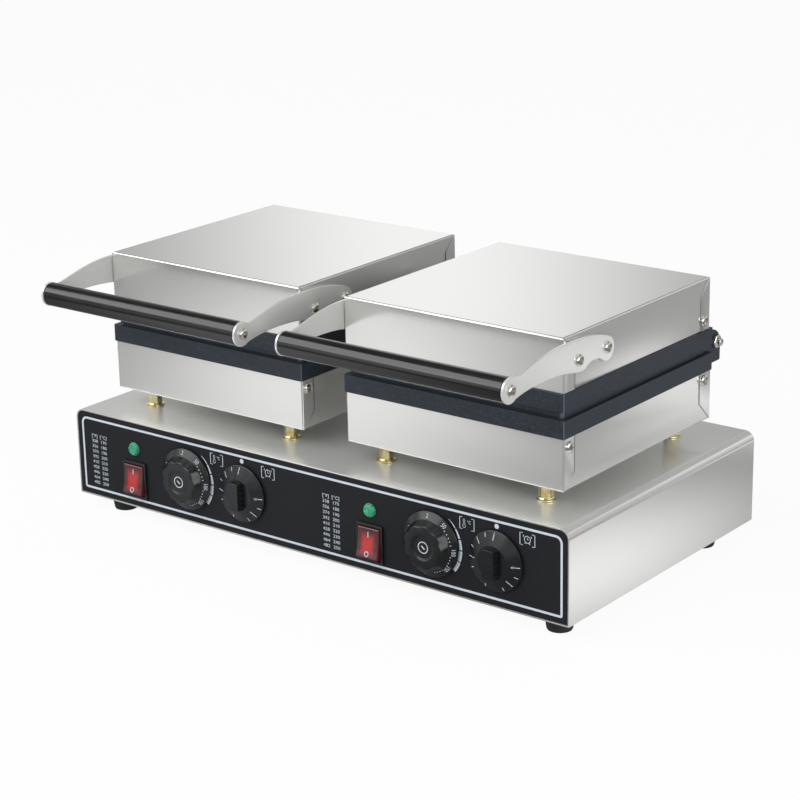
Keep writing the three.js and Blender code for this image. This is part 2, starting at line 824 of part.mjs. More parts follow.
// Rocker about its pivot: dished front, ends that lean to clear the window at
// both stops, round back. It rests with its top pressed in.
function rocker() {
  const halfWidth = switchWindowWidth / 2 - rockerSideClearance;
  const half = switchWindowHeight / 2 - rockerEndClearance;
  const front = -rockerProud - rockerPivotDepth;
  const frontHalf = half + front * Math.tan(rockerTilt);
  const shoulder = half * 0.7;
  const side = new THREE.Shape();
  side.moveTo(rockerDepth, 0);
  side.quadraticCurveTo(rockerDepth, -shoulder, 0, -half);
  side.lineTo(front, -frontHalf);
  side.quadraticCurveTo(front + 2 * rockerDip, 0, front, frontHalf);
  side.lineTo(0, half);
  side.quadraticCurveTo(rockerDepth, shoulder, rockerDepth, 0);
  return prism(side, "x", -halfWidth, halfWidth, arcSteps)
    .rotate([-THREE.MathUtils.radToDeg(rockerTilt), 0, 0])
    .translate([0, panelFront + rockerPivotDepth, 0]);
}

function lamp() {
  const seat = -panelFront;
  const lensRadius = lampRadius - lampRim;
  const lensEdge = lensRadius * lampDomeShare;
  const lensShoulder = lampProud * lampDomeShare;
  return turned([
    [0, seat - panelThickness - lampBodyDepth],
    [lampBodyRadius, seat - panelThickness - lampBodyDepth],
    [lampBodyRadius, seat + fit],
    [lampRadius, seat + fit],
    [lampRadius, seat + fit + lampFlange],
    [lensRadius, seat + fit + lampFlange],
    [lensRadius, seat + lensShoulder],
    [lensEdge, seat + lampProud],
    [0, seat + lampProud],
  ], "-y", pinSteps);
}

// Shaft and bush that pass through the panel, and a body behind it
function throughPanel(body, rise) {
  const bodyFront = panelBack + fit;
  return joined([
    body,
    rod(bushRadius, -bodyFront - overrun, -panelFront + bushReach, "-y", pinSteps),
    rod(shaftRadius, -bodyFront - overrun, -panelFront + rise - knobCap, "-y", pinSteps),
  ]);
}

function thermostat() {
  const back = -panelBack - fit - thermostatBodyDepth;
  return throughPanel(rod(thermostatBodyRadius, back, -panelBack - fit, "-y"), thermostatRise);
}

function timer() {
  const from = panelBack + fit;
  const outline = roundedOutline(timerBodyWidth, timerBodyHeight, timerBodyCorner);
  return throughPanel(prism(outline, "y", from, from + timerBodyDepth), timerRise);
}

// Blind bore in the back of a knob, for its shaft and bush
function shaftBore(rise) {
  const back = -panelFront;
  const tip = back + rise - knobCap + fit;
  return turned([
    [0, back - overrun],
    [bushRadius + fit, back - overrun],
    [bushRadius + fit, back + bushReach + fit],
    [shaftRadius + fit, back + bushReach + fit],
    [shaftRadius + fit, tip],
    [0, tip],
  ], "-y", pinSteps);
}

// Solid from rings of points about the panel's normal. Each ring is a
// distance out of the panel and the radius at every angle.
function ringStack(rings, steps) {
  const positions = [];
  const triangles = [];
  for (const [rise, radiusAt] of rings) {
    for (let step = 0; step < steps; step += 1) {
      const angle = (2 * halfTurn * step) / steps;
      const radius = radiusAt(angle);
      positions.push(radius * Math.cos(angle), -rise, radius * Math.sin(angle));
    }
  }
  const last = rings.length - 1;
  const backCentre = positions.length / 3;
  positions.push(0, -rings[0][0], 0);
  positions.push(0, -rings[last][0], 0);
  for (let step = 0; step < steps; step += 1) {
    const next = (step + 1) % steps;
    for (let ring = 0; ring < last; ring += 1) {
      const low = ring * steps;
      const high = low + steps;
      triangles.push(low + step, low + next, high + next);
      triangles.push(low + step, high + next, high + step);
    }
    triangles.push(next, step, backCentre);
    triangles.push(last * steps + step, last * steps + next, backCentre + 1);
  }
  const geometry = new THREE.BufferGeometry();
  geometry.setAttribute("position", new THREE.Float32BufferAttribute(positions, 3));
  geometry.setIndex(triangles);
  return solidOf(geometry);
}

// Thermostat knob: flat numbered skirt, lobed body, dished face
function thermostatKnob() {
  const back = -panelFront + knobStandoff;
  const skirtFront = back + thermostatSkirtRise;
  const front = -panelFront + thermostatRise;
  const rootRadius = thermostatSkirtRadius - thermostatSkirtWidth;
  const faceRadius = rootRadius - thermostatTaper;
  const lobed = (radius, depth) => (angle) => radius - depth * (1 - Math.cos(thermostatLobes * angle)) / 2;
  const body = ringStack([
    [skirtFront - overrun, lobed(rootRadius, 0)],
    [skirtFront, lobed(rootRadius, 0)],
    [front - knobEdgeCut, lobed(faceRadius + knobEdgeCut / 2, 2 * thermostatLobeDepth)],
    [front, lobed(faceRadius - knobEdgeCut / 2, 2 * thermostatLobeDepth)],
  ], knobSteps);
  const skirt = turned([
    [0, back],
    [thermostatSkirtRadius, back],
    [thermostatSkirtRadius, skirtFront - knobEdgeCut / 2],
    [thermostatSkirtRadius - knobEdgeCut / 2, skirtFront],
    [0, skirtFront],
  ], "-y", skirtSteps);
  const dish = turned([
    [0, front - thermostatDishDepth],
    [thermostatDishRadius - thermostatDishDepth, front - thermostatDishDepth],
    [thermostatDishRadius, front + overrun],
    [0, front + overrun],
  ], "-y");
  return skirt.add(body).subtract(dish).subtract(shaftBore(thermostatRise));
}

// Timer knob: ticked skirt, low hub, bar grip with tapered flanks
function timerKnob() {
  const back = -panelFront + knobStandoff;
  const skirtFront = back + timerSkirtRise;
  const front = -panelFront + timerRise;
  const skirt = turned([
    [0, back],
    [timerSkirtRadius, back],
    [timerSkirtRadius, skirtFront - knobEdgeCut],
    [timerSkirtRadius - knobEdgeCut, skirtFront - knobEdgeCut / 2],
    [timerHubRadius, skirtFront],
    [0, skirtFront],
  ], "-y", skirtSteps);
  const hub = turned([
    [0, back],
    [timerHubRadius, back],
    [timerHubRadius - timerHubDraft, front],
    [0, front],
  ], "-y", skirtSteps);
  const root = timerBarWidth / 2;
  const tip = root - timerBarDraft;
  const bar = new THREE.Shape();
  bar.moveTo(-root, -skirtFront + overrun);
  bar.lineTo(root, -skirtFront + overrun);
  bar.lineTo(tip, -front);
  bar.lineTo(-tip, -front);
  const barSolid = prism(bar, "z", -timerHubRadius - overrun, timerHubRadius + overrun).intersect(hub);
  return skirt.add(barSolid).subtract(shaftBore(timerRise));
}

// Gland through the rear panel: nut, dome and threaded tail, bored through
function cableGland() {
  const seat = cabinetDepth + fit;
  const nutBack = cabinetDepth + glandNutThickness;
  const corner = (glandRadius + glandNutWall) * hexCorner;
  const domeRadius = glandRadius + glandDomeWall;
  const end = nutBack + glandDomeLength;
  const nut = rod(corner, -nutBack, -seat, "-y", hexSides);
  const dome = turned([
    [0, -end],
    [glandBore + glandDomeNeck, -end],
    [domeRadius, -end + glandDomeLength / 2],
    [domeRadius, -seat - fit],
    [0, -seat - fit],
  ], "-y", pinSteps);
  const tailFront = -cabinetDepth + cabinetSheet + glandTail;
  const tail = rod(glandRadius, -seat - overrun, tailFront, "-y", pinSteps);
  const bore = rod(glandBore, -end - overrun, tailFront + overrun, "-y", pinSteps);
  return joined([nut, dome, tail]).subtract(bore).translate([0, 0, glandZ]);
}

// Screw wells open at the top of each pole
function terminalBlock() {
  const bottom = footHeight + cabinetSheet + fit;
  const rear = cabinetDepth - cabinetSheet - 2 * glandTail;
  let body = block([-terminalWidth / 2, rear - terminalDepth, bottom], [terminalWidth / 2, rear, bottom + terminalHeight]);
  for (let pole = 0; pole < terminalPoles; pole += 1) {
    const x = ((pole + 1 / 2) / terminalPoles - 1 / 2) * terminalWidth;
    const well = rod(terminalWellRadius, bottom + terminalHeight / 2, bottom + terminalHeight + overrun, "z", boltSteps);
    body = body.subtract(well.translate([x, rear - terminalDepth / 2, 0]));
  }
  return body;
}

// Finishes
const finishes = {
  stainless: { color: 0xc9c9c7, roughness: 0.22, metalness: 1 },
  panelBlack: { color: 0x2b2c30, roughness: 0.62, metalness: 0.1 },
  casting: { color: 0x3b4048, roughness: 0.5, metalness: 0.4 },
  yellowZinc: { color: 0xc9b25a, roughness: 0.25, metalness: 1 },
  rubber: { color: 0x232527, roughness: 0.8, metalness: 0 },
  gripBlack: { color: 0x1d1d1e, roughness: 0.2, metalness: 0 },
  knobBlack: { color: 0x1f2123, roughness: 0.35, metalness: 0 },
  rockerRed: { color: 0xb4232b, roughness: 0.2, metalness: 0 },
  lampGreen: { color: 0x2f9a6d, roughness: 0.2, metalness: 0 },
  zincSteel: { color: 0xa9acad, roughness: 0.35, metalness: 1 },
  sheathSteel: { color: 0x77736c, roughness: 0.5, metalness: 1 },
  mouldedNylon: { color: 0xd8d4c6, roughness: 0.6, metalness: 0 },
};

const machine = new THREE.Group();
machine.position.y = -middleY;

function place(name, solid, finish, parent = machine) {
  const mesh = new THREE.Mesh(geometryOf(solid), new THREE.MeshStandardMaterial(finishes[finish]));
  mesh.name = name;
  parent.add(mesh);
  return mesh;
}

place("cabinet_shell", cabinetShell(), "stainless");
place("cabinet_bottom", bottomPlate(), "stainless");
place("cabinet_rear", rearPanel(), "stainless");
place("control_panel", controlPanel(), "panelBlack");
place("cable_gland", cableGland(), "mouldedNylon");
place("terminal_block", terminalBlock(), "mouldedNylon");
for (const [spot, x, y] of footPlaces()) {
  place(`foot_${spot}`, foot(), "rubber").position.set(x, y, 0);
}

sides.forEach(([side, sign], index) => {
  const start = index === 0 ? -halfPanel : 0;
  place(`switch_body_${side}`, switchBody(), "knobBlack").position.set(start + switchX, 0, switchZ);
  place(`rocker_${side}`, rocker(), "rockerRed").position.set(start + switchX, 0, switchZ);
  place(`lamp_${side}`, lamp(), "lampGreen").position.set(start + switchX, 0, lampZ);
  place(`thermostat_${side}`, thermostat(), "zincSteel").position.set(start + thermostatX, 0, dialZ);
  place(`thermostat_knob_${side}`, thermostatKnob(), "knobBlack").position.set(start + thermostatX, 0, dialZ);
  place(`timer_${side}`, timer(), "zincSteel").position.set(start + timerX, 0, dialZ);
  place(`timer_knob_${side}`, timerKnob(), "knobBlack").position.set(start + timerX, 0, dialZ);

  const cooker = new THREE.Group();
  cooker.position.x = sign * cookerOffset;
  machine.add(cooker);
  for (const [spot, x, y] of postPlaces()) {
    place(`post_${side}_${spot}`, post(), "yellowZinc", cooker).position.set(x, y, 0);
  }
  place(`lower_housing_${side}`, lowerHousing(), "stainless", cooker);
  place(`lower_plate_${side}`, lowerPlate(), "casting", cooker);
  const lowerElementZ = lowerPlateBottom - fit - elementTubeRadius;
  const upperElementZ = upperPlateTop + fit + elementTubeRadius;
  place(`lower_element_${side}`, heatingElement(lowerElementZ), "sheathSteel", cooker);
  place(`upper_element_${side}`, heatingElement(upperElementZ), "sheathSteel", cooker);
  place(`upper_plate_${side}`, upperPlate(), "casting", cooker);
  place(`lid_cover_${side}`, lidCover(), "stainless", cooker);
  place(`arm_${side}_inner`, arm(-sign), "stainless", cooker);
  place(`arm_${side}_outer`, arm(sign), "stainless", cooker);
  place(`grip_${side}`, grip(), "gripBlack", cooker);
  place(`hinge_rod_${side}`, hingeRod(), "zincSteel", cooker);
  place(`hinge_nut_${side}_inner`, hingeNut(-sign), "zincSteel", cooker);
  place(`hinge_nut_${side}_outer`, hingeNut(sign), "zincSteel", cooker);
});

export default machine;
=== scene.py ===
"""Finished looks of a double waffle maker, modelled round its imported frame.

Lengths are in metres in the frame's own axes: +Z up, the control panel towards -Y.
"""

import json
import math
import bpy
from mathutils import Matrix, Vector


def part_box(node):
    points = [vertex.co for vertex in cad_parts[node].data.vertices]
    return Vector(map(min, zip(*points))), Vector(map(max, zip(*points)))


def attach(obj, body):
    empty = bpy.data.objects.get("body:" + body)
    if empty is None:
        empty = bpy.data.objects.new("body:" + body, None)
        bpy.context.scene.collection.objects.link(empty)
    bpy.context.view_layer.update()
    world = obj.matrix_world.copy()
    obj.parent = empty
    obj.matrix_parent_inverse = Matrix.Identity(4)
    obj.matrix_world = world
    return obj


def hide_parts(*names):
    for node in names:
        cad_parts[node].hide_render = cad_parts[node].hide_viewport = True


bl_info = {
    "name": "Double waffle maker",
    "version": (1, 0, 0),
    "blender": (4, 5, 0),
    "location": "View3D > Sidebar > Waffle maker",
    "description": "Models and finishes the pieces of a double waffle maker on its frame",
    "category": "Add Mesh",
}

import bmesh
import bpy
from bpy.props import FloatProperty, FloatVectorProperty, IntProperty, PointerProperty
from mathutils import Matrix, Vector

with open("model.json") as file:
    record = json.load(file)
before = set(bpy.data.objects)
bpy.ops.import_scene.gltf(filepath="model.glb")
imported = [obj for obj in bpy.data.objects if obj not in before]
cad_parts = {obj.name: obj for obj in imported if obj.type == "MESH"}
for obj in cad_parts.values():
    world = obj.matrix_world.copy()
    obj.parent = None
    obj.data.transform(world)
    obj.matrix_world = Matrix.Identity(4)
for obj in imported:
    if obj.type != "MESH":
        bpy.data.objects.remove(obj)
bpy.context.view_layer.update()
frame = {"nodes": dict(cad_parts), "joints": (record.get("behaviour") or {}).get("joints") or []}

MM = 0.001
NEAR = 0.1 * MM
SIDES = ("left", "right")
ENDS = ("inner", "outer")
SPOTS = ("front_left", "front_right", "rear_left", "rear_right")
OUT_OF_PANEL = (math.pi / 2, 0, 0)
OUT_OF_REAR = (-math.pi / 2, 0, 0)
ALONG_X = (0, math.pi / 2, 0)
WHITE = (1, 1, 1, 1)


def linear(code):
    """Linear colour, with full alpha, of an sRGB hex code."""
    channels = [int(code[start : start + 2], 16) / 255 for start in (0, 2, 4)]
    return tuple(c / 12.92 if c <= 0.04045 else ((c + 0.055) / 1.055) ** 2.4 for c in channels) + (1.0,)


# ---------------------------------------------------------------- sizes and colours


def length(name, description, default, low, high):
    """Setting for a length, given in millimetres."""
    return FloatProperty(
        name=name, description=description, default=default * MM, min=low * MM, max=high * MM, unit="LENGTH")


def whole(name, description, default, low, high):
    return IntProperty(name=name, description=description, default=default, min=low, max=high)


def turn_of(name, description, degrees):
    return FloatProperty(name=name, description=description, default=math.radians(degrees), subtype="ANGLE")


def colour(name, description, code):
    return FloatVectorProperty(
        name=name, description=description, default=linear(code), size=4, min=0, max=1, subtype="COLOR")


class CabinetSettings(bpy.types.PropertyGroup):
    """Sheet, panel edge, wire holes and spacers."""

    edge_radius: length("Top edge radius", "Bend radius of the cabinet's two long top edges", 8, 1, 30)
    sheet: length("Sheet thickness", "Thickness of the cabinet's sheet", 1.2, 0.5, 3)
    wire_hole_radius: length("Wire hole radius", "Radius of the hole under each housing for its wires", 9, 2, 20)
    post_flats: length("Spacer across flats", "Width of the hexagon spacers across their flats", 10.5, 6, 20)
    flange_radius: length("Spacer flange radius", "Radius of the round flange under each spacer", 7.7, 5, 15)


class PrintSettings(bpy.types.PropertyGroup):
    """Printing on the control panel."""

    line_width: length("Border line width", "Width of the line printed round the panel", 1.9, 0.5, 5)
    line_inset: length("Border line inset", "Gap from the panel's edge to the line's outer side", 4.3, 1, 12)
    line_corner: length("Border corner radius", "Outer radius of the line's top corners", 6, 1, 15)
    digit_height: length("Table digit height", "Height of the digits in the temperature table", 2.7, 1, 8)
    row_pitch: length("Table row pitch", "Distance between the table's rows", 4.62, 2, 9)
    ink: colour("Ink", "Colour of the printed line and figures", "dbe4ee")


class BoxSettings(bpy.types.PropertyGroup):
    """Folded housings and lid covers."""

    sheet: length("Sheet thickness", "Thickness of the folded sheet", 1, 0.5, 3)
    bend_radius: length("Bend radius", "Outer radius of the folded edges", 1.6, 1.1, 6)
    tab_width: length("Tab width", "Depth of the tabs that wrap round the corners", 13.5, 6, 30)
    screw_radius: length("Screw head radius", "Radius of the pan heads on tabs and arms", 4.6, 2, 8)


class PlateSettings(bpy.types.PropertyGroup):
    """Cast waffle plates."""

    corner_radius: length("Corner radius", "Radius of the plates' upright corners", 1.5, 1, 12)
    lip_corner: length("Lip corner radius", "Radius of the corners of lip, neck and moat", 5.5, 1, 12)
    lip_inset: length("Lip inset", "Distance from the slab's edge in to the lip", 2.8, 0, 8)
    slab_height: length("Slab height", "Height of the lower plate's slab", 14.2, 8, 20)
    lip_height: length("Lip height", "Height of the lip above its neck", 4.4, 2, 8)
    edge_round: length("Cast edge rounding", "Rounding of the plates' cast edges", 0.6, 0.2, 2)
    lip_width: length("Lip width", "Width of the lower plate's upstanding lip", 4.4, 2, 8)
    moat_width: length("Moat width", "Width of the overflow moat inside the lip", 7.5, 3, 15)
    moat_depth: length("Moat depth", "Depth of the overflow moat", 6, 2, 8)
    seal_width: length("Seal width", "Width of the wall between moat and waffle field", 3.2, 1, 8)
    peg_rows: whole("Peg rows", "Rows and columns of pegs in each quarter of the field", 4, 2, 8)
    peg_height: length("Peg height", "Height of the pegs that press the waffle's cells", 6, 2, 12)
    peg_root: length("Peg root width", "Width of a peg at its root", 13.6, 4, 20)
    peg_tip: length("Peg tip width", "Width of a peg at its tip", 10, 2, 18)
    rib_width: length("Cross rib width", "Width of the ribs that part the field in four", 3.4, 1, 10)


class KnobSettings(bpy.types.PropertyGroup):
    """Thermostat and timer knobs."""

    lobes: whole("Thermostat lobes", "Number of finger scallops round the thermostat knob", 9, 3, 16)
    lobe_depth: length("Lobe depth", "Depth of the finger scallops", 1.4, 0, 4)
    dish_radius: length("Dish radius", "Radius of the dish in the thermostat knob's face", 10.2, 3, 15)
    bar_width: length("Timer bar width", "Width of the timer knob's grip bar", 12.2, 4, 18)
    hub_radius: length("Timer hub radius", "Radius of the timer knob's hub", 13.4, 8, 20)


class StageSettings(bpy.types.PropertyGroup):
    """Camera, lamps and floor."""

    camera_target: FloatVectorProperty(
        name="Camera target", description="Point that the camera looks at",
        default=(0.0065, 0.0004, 0.1101), subtype="TRANSLATION", unit="LENGTH")
    camera_distance: length("Camera distance", "Distance from the camera to its target", 1869, 300, 10000)
    camera_azimuth: turn_of("Camera azimuth", "Angle of the camera from the front, towards +X", 38.0636)
    camera_elevation: turn_of("Camera elevation", "Angle of the camera above the floor", 18.05)
    camera_roll: turn_of("Camera roll", "Turn of the picture about the line of sight", -1.12567)
    camera_lens: FloatProperty(
        name="Focal length", description="Focal length of the lens in millimetres", default=103.2, min=20, max=300)
    key_power: FloatProperty(
        name="Key lamp", description="Power of the large lamp above the left front",
        default=23, min=0, max=200, unit="POWER")
    fill_power: FloatProperty(
        name="Fill lamp", description="Power of the low lamp at the right side",
        default=8, min=0, max=200, unit="POWER")
    ambient: FloatProperty(
        name="Ambient light", description="Strength of the light from all round", default=0.42, min=0, max=2)
    floor_colour: colour("Floor", "Colour of the floor", "f4f4f3")


# ---------------------------------------------------------------- materials


def add_node(tree, kind, options=None, inputs=None):
    """Add a shader node with its options, its input values and the sockets linked to it."""
    node = tree.nodes.new("ShaderNode" + kind)
    for option, value in (options or {}).items():
        setattr(node, option, value)
    for socket, value in (inputs or {}).items():
        if isinstance(value, bpy.types.NodeSocket):
            tree.links.new(value, node.inputs[socket])
        else:
            node.inputs[socket].default_value = value
    return node


def new_tree(name):
    """New material with its empty node tree and its texture coordinates."""
    material = bpy.data.materials.new(name)
    material.use_nodes = True
    material.node_tree.nodes.clear()
    return material, material.node_tree, add_node(material.node_tree, "TexCoord")


def end_tree(material, inputs):
    """Close a material's tree with its surface shader."""
    surface = add_node(material.node_tree, "BsdfPrincipled", inputs=inputs)
    add_node(material.node_tree, "OutputMaterial", inputs={"Surface": surface.outputs["BSDF"]})
    return material


def calculated(tree, operation, *values, clamp=False):
    return add_node(tree, "Math", {"operation": operation, "use_clamp": clamp}, dict(enumerate(values))).outputs[0]


def ranged(tree, value, low, high, start=0.3, end=0.7):
    """Value between start and end, brought between low and high."""
    return add_node(tree, "MapRange", inputs={
        "Value": value, "From Min": start, "From Max": end, "To Min": low, "To Max": high}).outputs[0]


def noise(tree, place, size, detail=2, **more):
    """Noise whose features are `size` millimetres across on the object."""
    return add_node(tree, "TexNoise", inputs={
        "Vector": place.outputs["Object"], "Scale": 1 / (size * MM), "Detail": detail, **more}).outputs["Fac"]


def stretched(tree, place, sizes):
    """Coordinates in which a pattern is this many millimetres long along each axis of the object."""
    return add_node(tree, "Mapping", inputs={
        "Vector": place.outputs["Object"], "Scale": [1 / (size * MM) for size in sizes]}).outputs[0]


def brushed(tree, vector):
    """Noise in stretched coordinates."""
    return add_node(tree, "TexNoise", inputs={
        "Vector": vector, "Scale": 1, "Detail": 3, "Roughness": 0.6}).outputs["Fac"]


def blend(tree, share, *colours):
    """Colour between two, each a hex code, a value or a socket."""
    first, second = [linear(c) if isinstance(c, str) else c for c in colours]
    return add_node(tree, "Mix", {"data_type": "RGBA"}, {"Factor": share, 6: first, 7: second}).outputs[2]


def ramp(tree, factor, stops):
    """Colour ramp through stops of position and hex code."""
    node = add_node(tree, "ValToRGB", inputs={"Fac": factor})
    elements = node.color_ramp.elements
    for element, (position, code) in zip(elements, (stops[0], stops[-1])):
        element.position = position
        element.color = linear(code)
    for position, code in stops[1:-1]:
        elements.new(position).color = linear(code)
    return node.outputs[0]


def bump(tree, height, strength, distance):
    """Normal of a relief, its depth in millimetres."""
    return add_node(tree, "Bump", inputs={
        "Height": height, "Strength": strength, "Distance": distance * MM}).outputs[0]


def facing(tree, place):
    """How squarely the surface faces along X, Y and Z, whichever way."""
    normal = add_node(tree, "SeparateXYZ", inputs={"Vector": place.outputs["Normal"]})
    return [calculated(tree, "ABSOLUTE", part) for part in normal.outputs]


def stainless(name, mirror, top_mirror=None):
    """Brushed stainless of one metallic share, with another share on its upward faces."""
    material, tree, place = new_tree(name)
    level = facing(tree, place)[2]
    along = add_node(tree, "Mix", {"data_type": "VECTOR"}, {
        "Factor": calculated(tree, "GREATER_THAN", level, 0.7),
        4: stretched(tree, place, (90, 90, 1)), 5: stretched(tree, place, (90, 1, 90))})
    lines = brushed(tree, along.outputs[1])
    metallic, roughness = mirror, ranged(tree, lines, 0.2, 0.22)
    if top_mirror is not None:
        metallic = ranged(tree, level, mirror, top_mirror, 0.6, 0.95)
        roughness = ranged(tree, level, 0.21, 0.32, 0.6, 0.95)
    return end_tree(material, {
        "Base Color": blend(tree, lines, "e8e8e6", "ecece9"), "Metallic": metallic, "Roughness": roughness,
        "Coat Weight": 0.6, "Coat Roughness": 0.03, "Coat IOR": 1.6})


def grained(name, size, colours, surface, detail=2, distortion=0, shine=None, relief=None):
    """Material with one pattern, `size` millimetres across, in its tone and, if given, its roughness and relief."""
    material, tree, place = new_tree(name)
    grain = noise(tree, place, size, detail, Distortion=distortion)
    inputs = {"Base Color": blend(tree, grain, *colours), **surface}
    if shine:
        inputs["Roughness"] = ranged(tree, grain, *shine)
    if relief:
        inputs["Normal"] = bump(tree, grain, *relief)
    return end_tree(material, inputs)


def panel_film():
    # Powder-coated black panel: a fine, even grain, a millimetre across, that breaks the shine
    material, tree, place = new_tree("black_powder_coat")
    grain = noise(tree, place, 0.9, 3, Roughness=0.7)
    speck = ranged(tree, grain, 0, 1, 0.35, 0.75)
    return end_tree(material, {
        "Base Color": blend(tree, speck, "101114", "2a2c32"), "IOR": 1.33,
        "Roughness": ranged(tree, noise(tree, place, 45), 0.6, 0.7), "Normal": bump(tree, grain, 0.35, 0.15)})


def screen_ink():
    # Screen-printed pale ink, a trace thinner in places, so the black shows through in fine specks
    ink = tuple(bpy.context.scene.waffle_print.ink)
    return grained("pale_screen_ink", 0.6, ("c4ced9", ink), {"Roughness": 0.55, "IOR": 1.5})


def cast_nonstick():
    # Cast aluminium under a blue-black non-stick coat: a sand-cast grain a millimetre across
    # under a satin skin, with pale specks, and a painted highlight that makes the rounded edges paler
    material, tree, place = new_tree("nonstick_coated_casting")
    grain = noise(tree, place, 1, 4, Roughness=0.7)
    worn = blend(tree, brushed(tree, stretched(tree, place, (14, 14, 1.5))), "23282f", "333a44")
    specked = blend(tree, ranged(tree, grain, 0, 1, 0.56, 0.72), worn, "5d6675")
    # Painted highlight: faces that lie askew to the axes, the rounded edges, are made paler
    across, deep, level = facing(tree, place)
    straight = calculated(tree, "MAXIMUM", calculated(tree, "MAXIMUM", across, deep), level)
    edges = ranged(tree, straight, 0, 0.7, 0.96, 0.8)
    return end_tree(material, {
        "Base Color": blend(tree, edges, specked, "6a7382"), "Metallic": 0.2, "IOR": 1.45,
        "Roughness": ranged(tree, grain, 0.36, 0.5), "Normal": bump(tree, grain, 0.3, 0.12)})


def yellow_zinc():
    # Yellow chromated zinc on turned steel: a bright gold skin with pink and green patches
    # a few millimetres wide
    material, tree, place = new_tree("yellow_chromated_zinc")
    patch = noise(tree, place, 7, Distortion=0.8)
    skin = ramp(tree, patch, ((0.3, "d9a98f"), (0.42, "e9d68f"), (0.58, "f6efc0"), (0.72, "c4d6a0")))
    return end_tree(material, {
        "Base Color": skin, "Metallic": 1, "Roughness": ranged(tree, noise(tree, place, 0.8), 0.16, 0.28)})


def knob_plastic():
    # Moulded black ABS: satin, with the spark-eroded grain of its mould, a third of a
    # millimetre wide
    material, tree, place = new_tree("moulded_black_abs")
    wear = noise(tree, place, 12)
    return end_tree(material, {
        "Base Color": blend(tree, wear, "0f1113", "171a1c"), "Roughness": ranged(tree, wear, 0.24, 0.32),
        "IOR": 1.54, "Normal": bump(tree, noise(tree, place, 0.4), 0.12, 0.05)})


def rocker_polycarbonate(centre):
    # Tinted red polycarbonate under a clear gloss, its light painted in: a painted glow bright in the middle
    # of the rocker, painted shade wine red towards its edges, and a paler rim as a painted highlight
    material, tree, place = new_tree("red_polycarbonate")
    centred = add_node(tree, "Mapping", inputs={
        "Vector": place.outputs["Object"], "Location": tuple(-v for v in centre)})
    shares = add_node(tree, "Mapping", inputs={
        "Vector": centred.outputs[0], "Scale": (1 / (10.4 * MM), 0, 1 / (13.6 * MM))})
    parts = add_node(tree, "SeparateXYZ", inputs={"Vector": shares.outputs[0]})
    across, upward = [calculated(tree, "ABSOLUTE", parts.outputs[axis]) for axis in "XZ"]
    # Painted glow and shade: bright in the middle, darker towards the edges, paler again at the rim
    light = ramp(tree, calculated(tree, "SMOOTH_MAX", across, upward, 0.12), (
        (0.3, "c81a25"), (0.5, "a3121b"), (0.68, "5a0f14"), (0.86, "42080d"), (0.98, "74272d")))
    cells = add_node(tree, "TexNoise", inputs={
        "Vector": place.outputs["Object"], "Scale": 1 / (3 * MM), "Detail": 1})
    tone = add_node(tree, "Mix", {"data_type": "RGBA", "blend_type": "MULTIPLY"}, {
        "Factor": 0.25, 6: light, 7: cells.outputs["Color"]})
    return end_tree(material, {
        "Base Color": tone.outputs[2], "Roughness": 0.22, "IOR": 1.58, "Coat Weight": 0.6,
        "Coat Roughness": 0.06})


def lamp_lens():
    # Green acrylic lens with a cut pattern inside it, a millimetre and a half from cell to cell
    material, tree, place = new_tree("green_acrylic_lens")
    cells = add_node(tree, "TexVoronoi", inputs={
        "Vector": place.outputs["Object"], "Scale": 1 / (1.5 * MM)}).outputs["Distance"]
    return end_tree(material, {
        "Base Color": blend(tree, ranged(tree, cells, 0, 1, 0.15, 0.75), "086341", "3fb88b"),
        "Roughness": 0.28, "IOR": 1.49, "Coat Weight": 0.5, "Coat Roughness": 0.05,
        "Normal": bump(tree, cells, 0.3, 0.2)})


NYLON = {"Roughness": 0.45, "IOR": 1.53}
# Name, then the arguments of its maker
STAINLESS = {
    # Stainless sheet, satin brushed: pale and even, a blurred mirror with a weak crisp one over
    # it. Its lines lie level on the sides and across on the tops. The real ones are a tenth of
    # a millimetre apart, drawn here at one.
    "brushed_stainless_sheet": (0.75,),
    # The cabinet's stainless sheet: brushed as the rest, with a top rubbed to a milky satin, so
    # that it is bright in the light and dark where the cookers shade it
    "satin_stainless_sheet": (0.75, 0.42),
    # Stainless plate, cut and linished to an even pale satin
    "linished_stainless_plate": (0.4,),
}
GRAINED = {
    # Moulded black rubber: dull, with a faint grey bloom in patches a few millimetres wide
    "moulded_black_rubber": dict(
        size=5, colours=("141517", "26282b"), surface={"Roughness": 0.6, "IOR": 1.5}, detail=3, relief=(0.1, 0.1)),
    # Polished phenolic bar: deep black gloss with a slow ripple, 20 mm long, from the mould
    "polished_black_phenolic": dict(
        size=20, colours=("0c0c0d", "141416"), surface={"IOR": 1.6}, shine=(0.14, 0.22), relief=(0.05, 0.3)),
    # Black glass-filled nylon: a dull moulding with short pale fibres just under its skin
    "black_filled_nylon": dict(
        size=1.5, colours=("101112", "1f2022"), surface={"Roughness": 0.4, "IOR": 1.53}, detail=3, distortion=1.5),
    # Bright plated steel, a little warm: a turned grain under a clear shine
    "bright_zinc_plate": dict(
        size=1.2, colours=("d2cfc6", "efece4"), surface={"Metallic": 1}, detail=3, shine=(0.1, 0.2)),
    # Nickel-alloy heater sheath, browned by use in bands a few centimetres long
    "heat_tinted_sheath": dict(
        size=25, colours=("5a5146", "8d877c"), surface={"Metallic": 1, "Roughness": 0.5}, detail=3),
    # Pressed tinplate can: grey and even, with faint draw marks two millimetres apart
    "pressed_tinplate": dict(size=2, colours=("9fa2a4", "bcbec0"), surface={"Metallic": 1, "Roughness": 0.38}),
    # Moulded nylon, black or milky and a little yellow, with flow clouds a centimetre wide
    "black_gland_nylon": dict(size=10, colours=("1c1d1f", "2a2b2d"), surface=NYLON),
    "timer_case_nylon": dict(size=10, colours=("cdc8ba", "dedbd0"), surface=NYLON),
    "terminal_nylon": dict(size=10, colours=("d2ccbb", "e3dfd2"), surface=NYLON),
}
